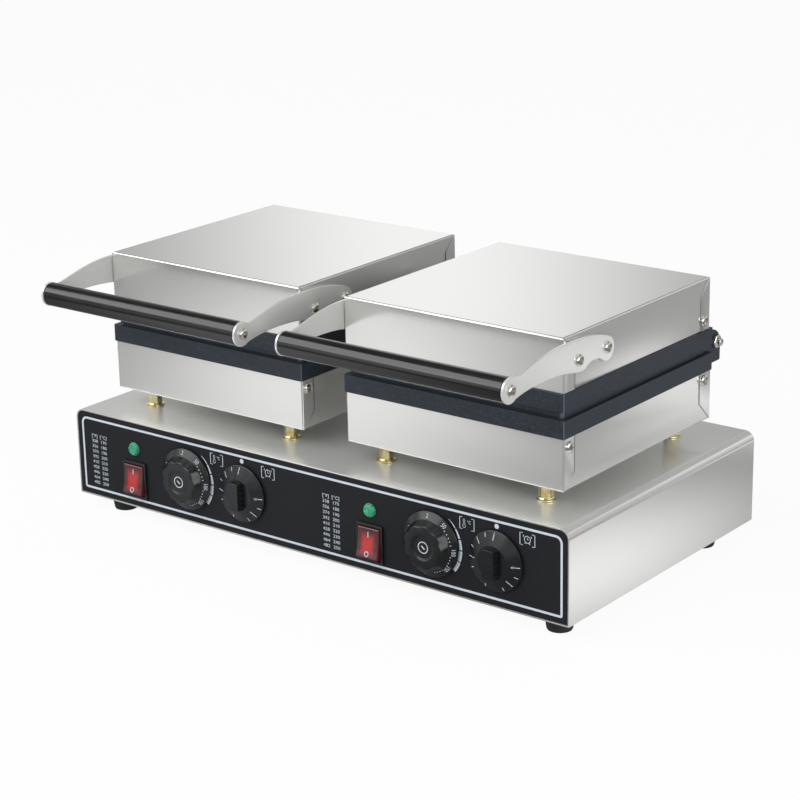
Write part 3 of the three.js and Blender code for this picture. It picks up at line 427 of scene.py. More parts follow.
OTHERS = {
    "black_powder_coat": panel_film,
    "pale_screen_ink": screen_ink,
    "nonstick_coated_casting": cast_nonstick,
    "yellow_chromated_zinc": yellow_zinc,
    "moulded_black_abs": knob_plastic,
    "green_acrylic_lens": lamp_lens,
}


def finish_named(name):
    """Material of this name, made on first use."""
    if name in bpy.data.materials:
        return bpy.data.materials[name]
    if name in STAINLESS:
        return stainless(name, *STAINLESS[name])
    return grained(name, **GRAINED[name]) if name in GRAINED else OTHERS[name]()


# ---------------------------------------------------------------- modelling by hand


def clear_selection():
    bpy.ops.object.select_all(action="DESELECT")


def select_only(*pieces):
    clear_selection()
    for piece in pieces:
        piece.select_set(True)
    bpy.context.view_layer.objects.active = pieces[0]


def settle(piece, location=(0, 0, 0), rotation=(0, 0, 0), scale=(1, 1, 1)):
    """Put a piece in place and leave that place in its mesh."""
    select_only(piece)
    piece.location = location
    piece.rotation_euler = rotation
    piece.scale = scale
    bpy.ops.object.transform_apply(location=True, rotation=True, scale=True)
    return piece


def block(name, low, high):
    """Box between two corners, to be shaped further."""
    clear_selection()
    bpy.ops.mesh.primitive_cube_add(size=1)
    piece = bpy.context.object
    piece.name = name
    size = [b - a for a, b in zip(low, high)]
    return settle(piece, [(a + b) / 2 for a, b in zip(low, high)], scale=size)


def flat(centre, width, height):
    """Flat rectangle, for a print."""
    clear_selection()
    bpy.ops.mesh.primitive_plane_add(size=1)
    return settle(bpy.context.object, centre, scale=(width, height, 1))


def disc(radius, sides, centre=(0, 0, 0), rotation=(0, 0, 0)):
    """Flat disc, for a print."""
    clear_selection()
    bpy.ops.mesh.primitive_circle_add(vertices=sides, radius=radius, fill_type="NGON")
    return settle(bpy.context.object, centre, rotation)


def edit(piece):
    select_only(piece)
    bpy.ops.object.mode_set(mode="EDIT")


def leave_edit():
    bpy.ops.object.mode_set(mode="OBJECT")


def pick(piece, kind, test):
    """In edit mode, select only the faces, edges or points that pass a test."""
    bpy.ops.mesh.select_mode(type={"faces": "FACE", "edges": "EDGE", "verts": "VERT"}[kind])
    bpy.ops.mesh.select_all(action="DESELECT")
    mesh = bmesh.from_edit_mesh(piece.data)
    for item in getattr(mesh, kind):
        if test(item):
            item.select_set(True)
    mesh.select_flush_mode()
    bmesh.update_edit_mesh(piece.data)


def middle_of(edge):
    return (edge.verts[0].co + edge.verts[1].co) / 2


def runs_along(edge, axis):
    step = edge.verts[1].co - edge.verts[0].co
    return abs(step[axis]) > 0.99 * step.length


def round_edges(piece, test, radius, segments):
    """Bevel the chosen edges of a piece in edit mode."""
    pick(piece, "edges", test)
    bpy.ops.mesh.bevel(offset=radius, segments=segments, affect="EDGES")


def round_top(piece, top, radius, segments):
    """Round the two top edges of a block that run front to back, in edit mode."""
    round_edges(piece, lambda edge: runs_along(edge, 1) and abs(middle_of(edge).z - top) < NEAR, radius, segments)


def drop_faces(piece, test):
    pick(piece, "faces", test)
    bpy.ops.mesh.delete(type="FACE")


def resize_end(piece, test, ratio, centre):
    """In edit mode, narrow or widen the chosen faces about a point."""
    pick(piece, "faces", test)
    bpy.ops.transform.resize(value=ratio, center_override=centre)


def ring_of(piece, width):
    """Turn a flat disc or rectangle into a ring."""
    edit(piece)
    bpy.ops.mesh.select_mode(type="FACE")
    bpy.ops.mesh.select_all(action="SELECT")
    bpy.ops.mesh.inset(thickness=width, use_even_offset=True)
    bpy.ops.mesh.delete(type="FACE")
    leave_edit()
    return piece


def modify(piece, kind, settings):
    """Add a modifier and apply it."""
    select_only(piece)
    bpy.ops.object.modifier_add(type=kind)
    modifier = piece.modifiers[-1]
    for setting, value in settings.items():
        setattr(modifier, setting, value)
    bpy.ops.object.modifier_apply(modifier=modifier.name)


def thicken(piece, thickness):
    """Give a sheet its thickness, inwards."""
    modify(piece, "SOLIDIFY", {"thickness": thickness, "offset": -1})


def mend(piece, open_wrap=False):
    """Merge doubled points and turn every face outwards, in an open wrap away from its middle."""
    edit(piece)
    bpy.ops.mesh.select_all(action="SELECT")
    bpy.ops.mesh.remove_doubles(threshold=0.005 * MM)
    bpy.ops.mesh.normals_make_consistent(inside=False)
    if open_wrap:
        mesh = bmesh.from_edit_mesh(piece.data)
        centre = sum((v.co for v in mesh.verts), Vector()) / len(mesh.verts)
        widest = max(mesh.faces, key=lambda face: face.calc_area())
        if widest.normal.dot(widest.calc_center_median() - centre) < 0:
            bpy.ops.mesh.flip_normals()
    leave_edit()


def soften(piece, width, segments=2, angle=35):
    """Round the sharp edges a little and shade the curves smooth, with the flats kept flat."""
    if width:
        modify(piece, "BEVEL", {
            "width": width, "segments": segments, "limit_method": "ANGLE",
            "angle_limit": math.radians(angle), "use_clamp_overlap": True})
    select_only(piece)
    bpy.ops.object.shade_smooth_by_angle(angle=math.radians(angle))
    modify(piece, "WEIGHTED_NORMAL", {"mode": "FACE_AREA", "weight": 80, "keep_sharp": True})


def turned(name, rings, sides, location=(0, 0, 0), rotation=(0, 0, 0)):
    """Round piece grown from a disc, ring after ring of (radius, height)."""
    piece = disc(rings[0][0], sides, (0, 0, rings[0][1]))
    piece.name = name
    edit(piece)
    bpy.ops.mesh.select_all(action="SELECT")
    for (old, low), (new, high) in zip(rings, rings[1:]):
        bpy.ops.mesh.extrude_region_move(TRANSFORM_OT_translate={"value": (0, 0, high - low)})
        bpy.ops.transform.resize(value=(new / old, new / old, 1), center_override=(0, 0, high))
    leave_edit()
    mend(piece)
    return settle(piece, location, rotation)


def in_metres(*rings):
    """Rings of a turned piece, given in millimetres."""
    return [(radius * MM, height * MM) for radius, height in rings]


def filled_curve(name, outlines):
    """Flat curve object, filled between its closed outlines."""
    curve = bpy.data.curves.new(name, "CURVE")
    curve.dimensions = "2D"
    curve.fill_mode = "BOTH"
    for outline in outlines:
        spline = curve.splines.new("POLY")
        spline.points.add(len(outline) - 1)
        for point, (across, up) in zip(spline.points, outline):
            point.co = (across, up, 0, 1)
        spline.use_cyclic_u = True
    piece = bpy.data.objects.new(name, curve)
    bpy.context.scene.collection.objects.link(piece)
    return piece


def as_mesh(piece):
    select_only(piece)
    bpy.ops.object.convert(target="MESH")
    return bpy.context.object


def outlined(name, points, from_x, to_x, rounding=0):
    """Piece with one outline in Y and Z, pushed along X."""
    outline = filled_curve(name, [points])
    outline.data.extrude = (to_x - from_x) / 2 - rounding
    outline.data.bevel_depth = rounding
    outline.data.bevel_resolution = 1
    outline.data.offset = -rounding
    piece = as_mesh(outline)
    piece.matrix_world = Matrix(((0, 0, 1, (from_x + to_x) / 2), (1, 0, 0, 0), (0, 1, 0, 0), (0, 0, 0, 1)))
    bpy.ops.object.transform_apply(location=True, rotation=True, scale=True)
    mend(piece)
    return piece


def figures(text, height, stretch=1, turn=0):
    """Plain flat figures about the origin."""
    clear_selection()
    bpy.ops.object.text_add()
    label = bpy.context.object
    label.data.body = text
    label.data.align_x = "CENTER"
    label.data.align_y = "CENTER"
    label.data.size = height / 0.7
    label.data.resolution_u = 2
    return settle(as_mesh(label), rotation=(0, 0, turn), scale=(stretch, 1, 1))


def laid_on(prints, name, piece, place):
    """Join flat prints, stand them up before a piece and lay them on its front."""
    sheet = settle(joined(prints, name), place, OUT_OF_PANEL)
    modify(sheet, "SHRINKWRAP", {
        "target": piece, "wrap_method": "PROJECT", "use_project_y": True, "use_positive_direction": True,
        "use_negative_direction": False, "offset": 0.07 * MM})
    return sheet


def copied(piece, name, offset=(0, 0, 0)):
    """Copy of a piece, with a mesh of its own, moved by an offset."""
    select_only(piece)
    bpy.ops.object.duplicate(linked=False)
    twin = bpy.context.object
    twin.name = name
    return settle(twin, offset)


def joined(pieces, name):
    """One piece from several."""
    select_only(*pieces)
    if len(pieces) > 1:
        bpy.ops.object.join()
    piece = bpy.context.object
    piece.name = name
    return piece


def cut(piece, cutter, operation="DIFFERENCE"):
    """Cut one solid out of another, or unite or cross the two, and drop the second."""
    modify(piece, "BOOLEAN", {"operation": operation, "object": cutter, "solver": "EXACT"})
    bpy.data.objects.remove(cutter)


def bore(piece, radius, reach, place, rotation=(0, 0, 0)):
    """Cut a round hole that reaches both ways from a place."""
    cut(piece, turned("hole", [(radius, -reach), (radius, reach)], 32, place, rotation))


def dress(piece, material, body, slot, *nodes):
    """Give a finished piece its material, its body and the nodes it stands for; its slot is not used."""
    piece.data.name = piece.name
    piece.data.materials.clear()
    piece.data.materials.append(material if isinstance(material, bpy.types.Material) else finish_named(material))
    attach(piece, body)
    if nodes:
        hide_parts(*nodes)
    return piece


def middle(node):
    """Middle of a node's box."""
    return [(low + high) / 2 for low, high in zip(*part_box(node))]


def shift(node, other):
    """Way on the level from the middle of a node to that of another."""
    (x, y, _), (other_x, other_y, _) = middle(node), middle(other)
    return (other_x - x, other_y - y, 0)


def both_sides(left, name, body, node, material, slot):
    """Copy a left piece to the right and dress both; name, body and node have {} for the side."""
    right = copied(left, name.format("right"), shift(node.format("left"), node.format("right")))
    for side, piece in zip(SIDES, (left, right)):
        dress(piece, material, body.format(side), slot, node.format(side))


def spread(first, places, material, slot):
    """Dress a piece and copy it, dressed, to further places of (name, body, node); copies keep its node as well."""
    home = places[0][2]
    for name, body, node in places:
        piece = first if node == home else copied(first, name, shift(home, node))
        dress(piece, material, body, slot, node)


def arc(centre, radius, start, end, steps):
    """Points on an arc in a plane, its angles in degrees."""
    turn = [math.radians(start + (end - start) * i / steps) for i in range(steps + 1)]
    return [(centre[0] + radius * math.cos(a), centre[1] + radius * math.sin(a)) for a in turn]


def bezier(knots, steps):
    """Points on a Bezier stretch of three or four knots, without its first."""
    points = []
    for step in range(1, steps + 1):
        line = [Vector(k) for k in knots]
        while len(line) > 1:
            line = [a.lerp(b, step / steps) for a, b in zip(line, line[1:])]
        points.append(tuple(line[0]))
    return points


# ---------------------------------------------------------------- pieces


class WAFFLE_OT_cabinet(bpy.types.Operator):
    """Fold the cabinet's sheet and give it its wire holes"""

    bl_idname = "waffle.cabinet"
    bl_label = "Cabinet sheet"

    def execute(self, context):
        sizes = context.scene.waffle_cabinet
        low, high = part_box("cabinet_shell")
        piece = block("cabinet_sheet", low, high)
        edit(piece)
        round_top(piece, high.z, sizes.edge_radius, 12)
        drop_faces(piece, lambda face: abs(face.normal.y) > 0.9 or face.normal.z < -0.9)
        leave_edit()
        mend(piece)
        thicken(piece, sizes.sheet)
        for side in SIDES:
            place = (middle(f"lower_housing_{side}")[0], (low.y + high.y) / 2, high.z)
            bore(piece, sizes.wire_hole_radius, 5 * MM, place)
        soften(piece, 0.25 * MM, 2, 40)
        dress(piece, "satin_stainless_sheet", "cabinet", "stainless", "cabinet_shell")
        return {"FINISHED"}


class WAFFLE_OT_panel(bpy.types.Operator):
    """Cut the control panel and its openings"""

    bl_idname = "waffle.panel"
    bl_label = "Control panel"

    def execute(self, context):
        low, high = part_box("control_panel")
        piece = block("panel_plate", low, high)
        edit(piece)
        round_top(piece, high.z, context.scene.waffle_cabinet.edge_radius - 1.5 * MM, 10)
        leave_edit()
        reach = 5 * MM
        margin = Vector((1.3 * MM, 0, 1.3 * MM))
        for side in SIDES:
            body_low, body_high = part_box(f"switch_body_{side}")
            cut(piece, block("window", Vector((body_low.x, low.y - reach, body_low.z)) + margin,
                             Vector((body_high.x, high.y + reach, body_high.z)) - margin))
            for node, radius in (("lamp", 4.7), ("thermostat", 5.1), ("timer", 5.1)):
                x, _, z = middle(f"{node}_{side}")
                bore(piece, radius * MM, reach, (x, low.y, z), OUT_OF_PANEL)
        soften(piece, 0.25 * MM, 2, 40)
        dress(piece, "black_powder_coat", "cabinet", "panel_black", "control_panel")
        return {"FINISHED"}


class WAFFLE_OT_panel_print(bpy.types.Operator):
    """Print the border line, the temperature tables and the plain signs on the panel"""

    bl_idname = "waffle.panel_print"
    bl_label = "Panel print"

    def border(self, low, high, sizes):
        """Line round the panel, with its top corners rounder than its bottom ones."""
        low_x, low_z, high_x, high_z = (
            low.x + sizes.line_inset, low.z + sizes.line_inset, high.x - sizes.line_inset, high.z - sizes.line_inset)
        piece = flat((0, 0, 0), high_x - low_x, high_z - low_z)
        settle(piece, ((low_x + high_x) / 2, self.face, (low_z + high_z) / 2), OUT_OF_PANEL)
        edit(piece)
        for radius, level in ((sizes.line_corner, high_z), (2 * MM, low_z)):
            pick(piece, "verts", lambda v: abs(v.co.z - level) < 0.01 * MM)
            bpy.ops.mesh.bevel(offset=radius, segments=6, affect="VERTICES")
        leave_edit()
        return ring_of(piece, sizes.line_width)

    def shape(self, outlines):
        """Filled flat shape on the panel, from closed outlines in X and Z."""
        return settle(as_mesh(filled_curve("shape", outlines)), (0, self.face, 0), OUT_OF_PANEL)

    def ribbon(self, points, width, closed=False):
        """Flat line through points in X and Z, its width in millimetres."""
        count = len(points)
        left, right = [], []
        for index, (x, z) in enumerate(points):
            before = points[index - 1] if closed or index else (x, z)
            after = points[(index + 1) % count] if closed or index < count - 1 else (x, z)
            along = (Vector(after) - Vector(before)).normalized() * (width * MM) / 2
            left.append((x - along.y, z + along.x))
            right.append((x + along.y, z - along.x))
        return self.shape([left, right] if closed else [left + right[::-1]])

    def figures(self, text, x, z, height, stretch=0.8):
        """Plain figures centred on a point of the panel."""
        return settle(figures(text, height, stretch), (x, self.face, z), OUT_OF_PANEL)

    def thermometer(self, x, z):
        bulb = arc((x - 2.6 * MM, z - 2.2 * MM), 1.3 * MM, 120, 420, 12)
        stem_top = arc((x - 2.6 * MM, z + 2.6 * MM), 0.65 * MM, 0, 180, 6)
        return [self.ribbon(bulb + stem_top, 0.35, closed=True),
                self.figures("°C", x + 2 * MM, z + 1.2 * MM, 2.7 * MM)]

    def clock(self, x, z):
        face = arc((x, z), 2.7 * MM, 0, 345, 23)
        hands = [(x, z + 1.6 * MM), (x, z), (x + 1.2 * MM, z)]
        pieces = [self.ribbon(face, 0.5, closed=True), self.ribbon(hands, 0.4)]
        for way, start, end in ((-1, 135, 200), (1, 45, -20)):
            bell = arc((x + way * 2.1 * MM, z + 2.1 * MM), 1.5 * MM, start, end, 5)
            leg = [(x + way * 1.6 * MM, z - 2.4 * MM), (x + way * 2.3 * MM, z - 3.6 * MM)]
            pieces += [self.ribbon(bell, 0.5), self.ribbon(leg, 0.5)]
        return pieces

    def bracketed(self, sign, x, z):
        """A sign between square brackets."""
        pieces = sign(x, z)
        for way in (-1, 1):
            edge, tip = x + way * 6.6 * MM, x + way * 4.2 * MM
            pieces.append(self.ribbon([(tip, z + 4.7 * MM), (edge, z + 4.7 * MM), (edge, z - 4.7 * MM),
                                       (tip, z - 4.7 * MM)], 0.6))
        return pieces

    def wedges(self, x, z, radius):
        """Five arc wedges beside the thermostat, each wider than the one above."""
        pieces = []
        for start, end, thin, thick in (
            (55, 38, 0.3, 1.0), (36.5, 20, 1.1, 1.9), (18, 1, 2.0, 2.9), (-1, -19, 3.0, 3.7), (-21, -40, 3.8, 4.4),
        ):
            rim = arc((x, z), radius + 2.1 * MM, start, end, 8)
            root = []
            for index, (a, b) in enumerate(rim):
                width = (thin + (thick - thin) * index / 8) * MM
                way = (Vector((a, b)) - Vector((x, z))).normalized() * width
                root.append((a - way.x, b - way.y))
            pieces.append(self.shape([rim + root[::-1]]))
        return pieces

    def execute(self, context):
        sizes = context.scene.waffle_print
        low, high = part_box("control_panel")
        self.face = low.y - 0.06 * MM
        pieces = [self.border(low, high, sizes)]
        fahrenheit = ["[°F]"] + [str(338 + 18 * row) for row in range(9)]
        celsius = ["[°C]"] + [str(170 + 10 * row) for row in range(9)]
        for side in SIDES:
            table_x = middle(f"switch_body_{side}")[0] - (2.2 * MM if side == "left" else 0)
            for row, texts in enumerate(zip(fahrenheit, celsius)):
                z = low.z + 52.6 * MM - row * sizes.row_pitch
                for text, offset in zip(texts, (44.2, 34.2)):
                    pieces.append(self.figures(text, table_x - offset * MM, z, sizes.digit_height, 1.2))
            dial_low, dial_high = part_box(f"thermostat_knob_{side}")
            x, _, z = middle(f"thermostat_knob_{side}")
            pieces += self.wedges(x, z, (dial_high.x - dial_low.x) / 2)
            pieces += self.bracketed(self.thermometer, x + 33 * MM, z + 23 * MM)
            x, _, z = middle(f"timer_knob_{side}")
            pieces.append(disc(2 * MM, 24, (x, self.face, z + 27 * MM), OUT_OF_PANEL))
            pieces += self.bracketed(self.clock, x + 27.4 * MM, z + 22.6 * MM)
        dress(joined(pieces, "panel_print"), "pale_screen_ink", "cabinet", "panel_black")
        return {"FINISHED"}


class WAFFLE_OT_feet(bpy.types.Operator):
    """Turn one rubber foot and copy it under the cabinet's corners"""

    bl_idname = "waffle.feet"
    bl_label = "Feet"

    def execute(self, context):
        x, y, _ = middle("foot_front_left")
        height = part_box("foot_front_left")[1].z / MM
        rings = in_metres((4.5, 7), (4.5, 0.6), (5.1, 0), (8.6, 0), (9.5, 0.4), (10, 1.4), (11.2, 9),
                          (11.5, height - 0.5), (11, height))
        first = turned("rubber_foot_front_left", rings, 48, (x, y, 0))
        soften(first, 0)
        places = [(f"rubber_foot_{spot}", "cabinet", f"foot_{spot}") for spot in SPOTS]
        spread(first, places, "moulded_black_rubber", "foot_rubber")
        return {"FINISHED"}


class WAFFLE_OT_posts(bpy.types.Operator):
    """Make one flanged hexagon spacer and copy it under the housings' corners"""

    bl_idname = "waffle.posts"
    bl_label = "Spacers"

    def execute(self, context):
        sizes = context.scene.waffle_cabinet
        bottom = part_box("cabinet_shell")[1].z + 0.1 * MM
        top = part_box("lower_housing_left")[0].z - 0.1 * MM
        corner = sizes.post_flats / math.sqrt(3)
        flange = sizes.flange_radius
        x, y, _ = middle("post_left_front_left")
        low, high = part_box("post_left_front_left")
        hexagon = turned("hexagon", [
            (corner - 1 * MM, bottom), (corner, bottom + 0.6 * MM), (corner, top - 0.6 * MM),
            (corner - 1 * MM, top)], 6, (x, y, 0))
        soften(hexagon, 0.3 * MM, 2, 25)
        collar = turned("collar", [
            (flange - 0.5 * MM, bottom), (flange - 0.1 * MM, bottom + 0.3 * MM), (flange, bottom + 0.7 * MM),
            (flange - 0.1 * MM, bottom + 1.1 * MM), (flange - 0.5 * MM, bottom + 1.4 * MM),
            (corner + 0.3 * MM, bottom + 1.6 * MM), (corner - 0.3 * MM, bottom + 2.6 * MM)], 40, (x, y, 0))
        stud = turned("stud", [
            (2.4 * MM, low.z), (3 * MM, low.z + 0.7 * MM), (3 * MM, high.z - 0.7 * MM), (2.4 * MM, high.z)],
            20, (x, y, 0))
        for piece in (collar, stud):
            soften(piece, 0)
        first = joined([hexagon, collar, stud], "spacer_left_front_left")
        places = [(f"spacer_{side}_{spot}", "cabinet", f"post_{side}_{spot}") for side in SIDES for spot in SPOTS]
        spread(first, places, "yellow_chromated_zinc", "yellow_zinc")
        return {"FINISHED"}


class WAFFLE_OT_housings(bpy.types.Operator):
    """Fold the lower housings and the lid covers"""

    bl_idname = "waffle.housings"
    bl_label = "Housings and covers"

    def folded_box(self, name, low, high, sizes, opening, rear_tab):
        """Box of one folded sheet with wrapped tabs at both ends, open at the top (1) or below (-1)."""
        proud, lap, past = 0.8 * MM, 0.08 * MM, 1 * MM
        inner_low = Vector((low.x + proud, low.y + lap, low.z + lap))
        inner_high = Vector((high.x - proud, high.y - lap, high.z - lap))
        closed_z, open_z = (low.z, inner_high.z) if opening > 0 else (high.z, inner_low.z)
        shell = block(name, inner_low, inner_high)
        edit(shell)
        drop_faces(shell, lambda face: face.normal.z * opening > 0.9)
        round_edges(shell, lambda edge: abs(middle_of(edge).z - open_z) > NEAR, sizes.bend_radius, 4)
        leave_edit()
        mend(shell)
        thicken(shell, sizes.sheet)
        pieces = [shell]
        front = (-1, low.y, sizes.tab_width, 1.7 * MM, 1.3 * MM)
        rear = (1, high.y, rear_tab, 0.55 * MM, 0.6 * MM)
        for end, edge_y, tab, gap, depth in (front, rear):
            reach = tab + 0.25 * MM
            back_y = edge_y - end * tab
            seam_y, seam_z = edge_y - end * reach, closed_z + opening * reach
            seam = [(seam_y, open_z + opening * past), (seam_y, seam_z), (edge_y, closed_z),
                    (edge_y, closed_z - opening * proud), (seam_y - end * gap, seam_z - opening * 0.5 * gap),
                    (seam_y - end * gap, open_z + opening * past)]
            for face_x, way in ((inner_low.x, 1), (inner_high.x, -1)):
                cut(shell, outlined("seam", seam, *sorted((face_x - way * past, face_x + way * depth))))
            wrap = block("wrap", (low.x, min(edge_y, back_y), low.z), (high.x, max(edge_y, back_y), high.z))
            edit(wrap)
            round_edges(
                wrap,
                lambda edge: abs(middle_of(edge).y - edge_y) < NEAR and (
                    runs_along(edge, 2) or abs(middle_of(edge).z - closed_z) < NEAR),
                sizes.bend_radius, 4)
            drop_faces(wrap, lambda face: abs(face.normal.z) > 0.9 or face.normal.y * end < -0.9)
            bpy.ops.mesh.select_all(action="SELECT")
            bpy.ops.mesh.bisect(
                plane_co=(0, edge_y, closed_z), plane_no=(0, -end, -opening), clear_outer=True, use_fill=False)
            leave_edit()
            mend(wrap, open_wrap=True)
            thicken(wrap, proud - 0.15 * MM)
            pieces.append(wrap)
        return joined(pieces, name)

    def execute(self, context):
        sizes = context.scene.waffle_box
        for node, body, opening, rear_tab in (
            ("lower_housing", "cabinet", 1, sizes.tab_width + 3 * MM), ("lid_cover", "lid_{}", -1, sizes.tab_width),
        ):
            low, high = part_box(f"{node}_left")
            first = self.folded_box(f"{node}_sheet_left", low, high, sizes, opening, rear_tab)
            if opening > 0:
                x, y, _ = middle(f"{node}_left")
                bore(first, context.scene.waffle_cabinet.wire_hole_radius, 3 * MM, (x, y, low.z))
            soften(first, 0.15 * MM, 1, 40)
            both_sides(first, node + "_sheet_{}", body, node + "_{}", "brushed_stainless_sheet", "stainless")
        return {"FINISHED"}


class WAFFLE_OT_plates(bpy.types.Operator):
    """Model the cast waffle plates with their lip, moat, pegs and hinge lugs"""

    bl_idname = "waffle.plates"
    bl_label = "Waffle plates"

    def grid(self, sizes, low, high, floor, way):
        """Pegs and cross ribs standing on a field's floor, up (1) or down (-1)."""
        centre = (low + high) / 2
        quarter = ((high.x - low.x - sizes.rib_width) / 2, (high.y - low.y - sizes.rib_width) / 2)
        pitch = [side / sizes.peg_rows for side in quarter]
        x, y = low.x + pitch[0] / 2, low.y + pitch[1] / 2
        half = sizes.peg_root / 2
        root, tip = floor - way * 0.5 * MM, floor + way * sizes.peg_height
        bottom, top = sorted((root, tip))
        peg = block("peg", (x - half, y - half, bottom), (x + half, y + half, top))
        edit(peg)
        taper = sizes.peg_tip / sizes.peg_root
        resize_end(peg, lambda face: face.normal.z * way > 0.9, (taper, taper, 1), (x, y, tip))
        round_edges(peg, lambda edge: abs(middle_of(edge).z - root) > NEAR, sizes.edge_round, 2)
        leave_edit()
        for step in ((pitch[0], 0, 0), (0, pitch[1], 0)):
            modify(peg, "ARRAY", {
                "count": sizes.peg_rows, "use_relative_offset": False, "use_constant_offset": True,
                "constant_offset_displace": step})
        step = [side + sizes.rib_width for side in quarter]
        pieces = [peg] + [copied(peg, "pegs", (a * step[0], b * step[1], 0)) for a, b in ((1, 0), (0, 1), (1, 1))]
        half, over = sizes.rib_width / 2, 0.5 * MM
        for rib_low, rib_high in (
            ((centre.x - half, low.y - over, bottom), (centre.x + half, high.y + over, top)),
            ((low.x - over, centre.y - half, bottom), (high.x + over, centre.y + half, top)),
        ):
            rib = block("rib", rib_low, rib_high)
            edit(rib)
            round_edges(rib, lambda edge: abs(middle_of(edge).z - tip) < 0.01 * MM, sizes.edge_round, 2)
            leave_edit()
            pieces.append(rib)
        return pieces

    def lugs(self, flank, inset):
        """A pair of bored hinge lugs, their outer faces an inset away from the plate's ends."""
        low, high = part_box("lower_plate_left")
        _, y, z = middle("hinge_rod_left")
        plate_x = (low.x + high.x) / 2
        outer = (high.x - low.x) / 2 - inset
        pieces = []
        for way in (-1, 1):
            ends = sorted((plate_x + way * (outer - 10 * MM), plate_x + way * outer))
            lug = outlined("lug", flank, *ends)
            bore(lug, 3.3 * MM, 20 * MM, (sum(ends) / 2, y, z), ALONG_X)
            pieces.append(lug)
        return pieces

    def tablet(self, heights, inset, radius):
        """Round-cornered block set in from the plate's outline, between two heights."""
        low, high = self.outline
        piece = block("tablet", (low[0] + inset, low[1] + inset, heights[0]),
                      (high[0] - inset, high[1] - inset, heights[1]))
        edit(piece)
        round_edges(piece, lambda edge: runs_along(edge, 2), radius, 6)
        leave_edit()
        return piece

    def finished(self, sizes, parts, inner, floor, way, name):
        """Casting with its lugs and the waffle field on its floor."""
        casting = joined(parts, name)
        soften(casting, sizes.edge_round, 2, 40)
        (low_x, low_y), (high_x, high_y) = self.outline
        low, high = Vector((low_x + inner, low_y + inner, 0)), Vector((high_x - inner, high_y - inner, 0))
        grid = joined(self.grid(sizes, low, high, floor, way), "grid")
        soften(grid, 0)
        return joined([casting, grid], name)

    def lower(self, sizes, inner, rear, pin):
        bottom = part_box("lower_plate_left")[0].z
        slab_top = bottom + sizes.slab_height
        rim_top = slab_top + 6.1 * MM
        moat_floor = rim_top - sizes.moat_depth
        moat_outer = sizes.lip_inset + sizes.lip_width
        floor, above = rim_top - 9 * MM, rim_top + 5 * MM
        piece = self.tablet((bottom, slab_top), 0, sizes.corner_radius)
        for heights, inset, operation in (
            ((slab_top - 1 * MM, rim_top - 1 * MM), sizes.lip_inset + 1 * MM, "UNION"),
            ((rim_top - sizes.lip_height, rim_top), sizes.lip_inset, "UNION"),
            ((moat_floor, above), moat_outer, "DIFFERENCE"),
            ((moat_floor - 1 * MM, rim_top), moat_outer + sizes.moat_width, "UNION"),
            ((floor, above), inner, "DIFFERENCE"),
        ):
            cut(piece, self.tablet(heights, inset, sizes.lip_corner), operation)
        arc_y, arc_z = pin.y - 4.49 * MM, pin.z - 2.87 * MM
        radius = arc_y - rear - 0.45 * MM
        flank = [(rear - 2 * MM, bottom), (arc_y + radius - 1 * MM, bottom), (arc_y + radius, bottom + 1 * MM)]
        flank += arc((arc_y, arc_z), radius, 0, 180, 20) + [(rear - 2 * MM, slab_top)]
        return self.finished(
            sizes, [piece] + self.lugs(flank, 8.7 * MM), inner, floor, 1, "lower_casting_left")

    def upper(self, sizes, inner, rear, pin):
        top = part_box("upper_plate_left")[1].z
        bottom = top - 13.9 * MM
        floor = bottom + 8 * MM
        piece = self.tablet((bottom, top), 0, sizes.corner_radius)
        cut(piece, self.tablet((bottom - 5 * MM, floor), inner, sizes.lip_corner))
        flank = [(rear - 2 * MM, bottom + 0.3 * MM), (rear + 0.3 * MM, bottom + 0.3 * MM)]
        flank += arc((pin.y, pin.z), 9.5 * MM, -120, 72, 24)
        flank += [(rear, top - 0.3 * MM), (rear - 2 * MM, top - 0.3 * MM)]
        return self.finished(
            sizes, [piece] + self.lugs(flank, 19.3 * MM), inner, floor, -1, "upper_casting_left")

    def execute(self, context):
        sizes = context.scene.waffle_plate
        inner = sizes.lip_inset + sizes.lip_width + sizes.moat_width + sizes.seal_width
        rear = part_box("lower_housing_left")[1].y + 0.5 * MM
        pin_low, pin_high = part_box("hinge_rod_left")
        for level, body, maker in (("lower", "cabinet", self.lower), ("upper", "lid_{}", self.upper)):
            low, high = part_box(f"{level}_plate_left")
            self.outline = ((low.x, low.y), (high.x, rear))
            first = maker(sizes, inner, rear, (pin_low + pin_high) / 2)
            both_sides(first, level + "_casting_{}", body, level + "_plate_{}", "nonstick_coated_casting", "casting")
        return {"FINISHED"}


def bar_along_x(name, node, edge, shoulder, sides):
    """Round bar in the place of a node, each end rounded over an edge with one shoulder ring on it."""
    low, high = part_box(node)
    radius = (high.z - low.z) / 2
    end = [(radius - edge, 0), (radius - shoulder[0] * edge, shoulder[1] * edge), (radius, edge)]
    rings = [(r, low.x + x) for r, x in end] + [(r, high.x - x) for r, x in reversed(end)]
    piece = turned(name, rings, sides, (0, *middle(node)[1:]), ALONG_X)
    soften(piece, 0)
    return piece


# Radius of the lobe at an arm's rear end
LOBE_RADIUS = 9.6 * MM


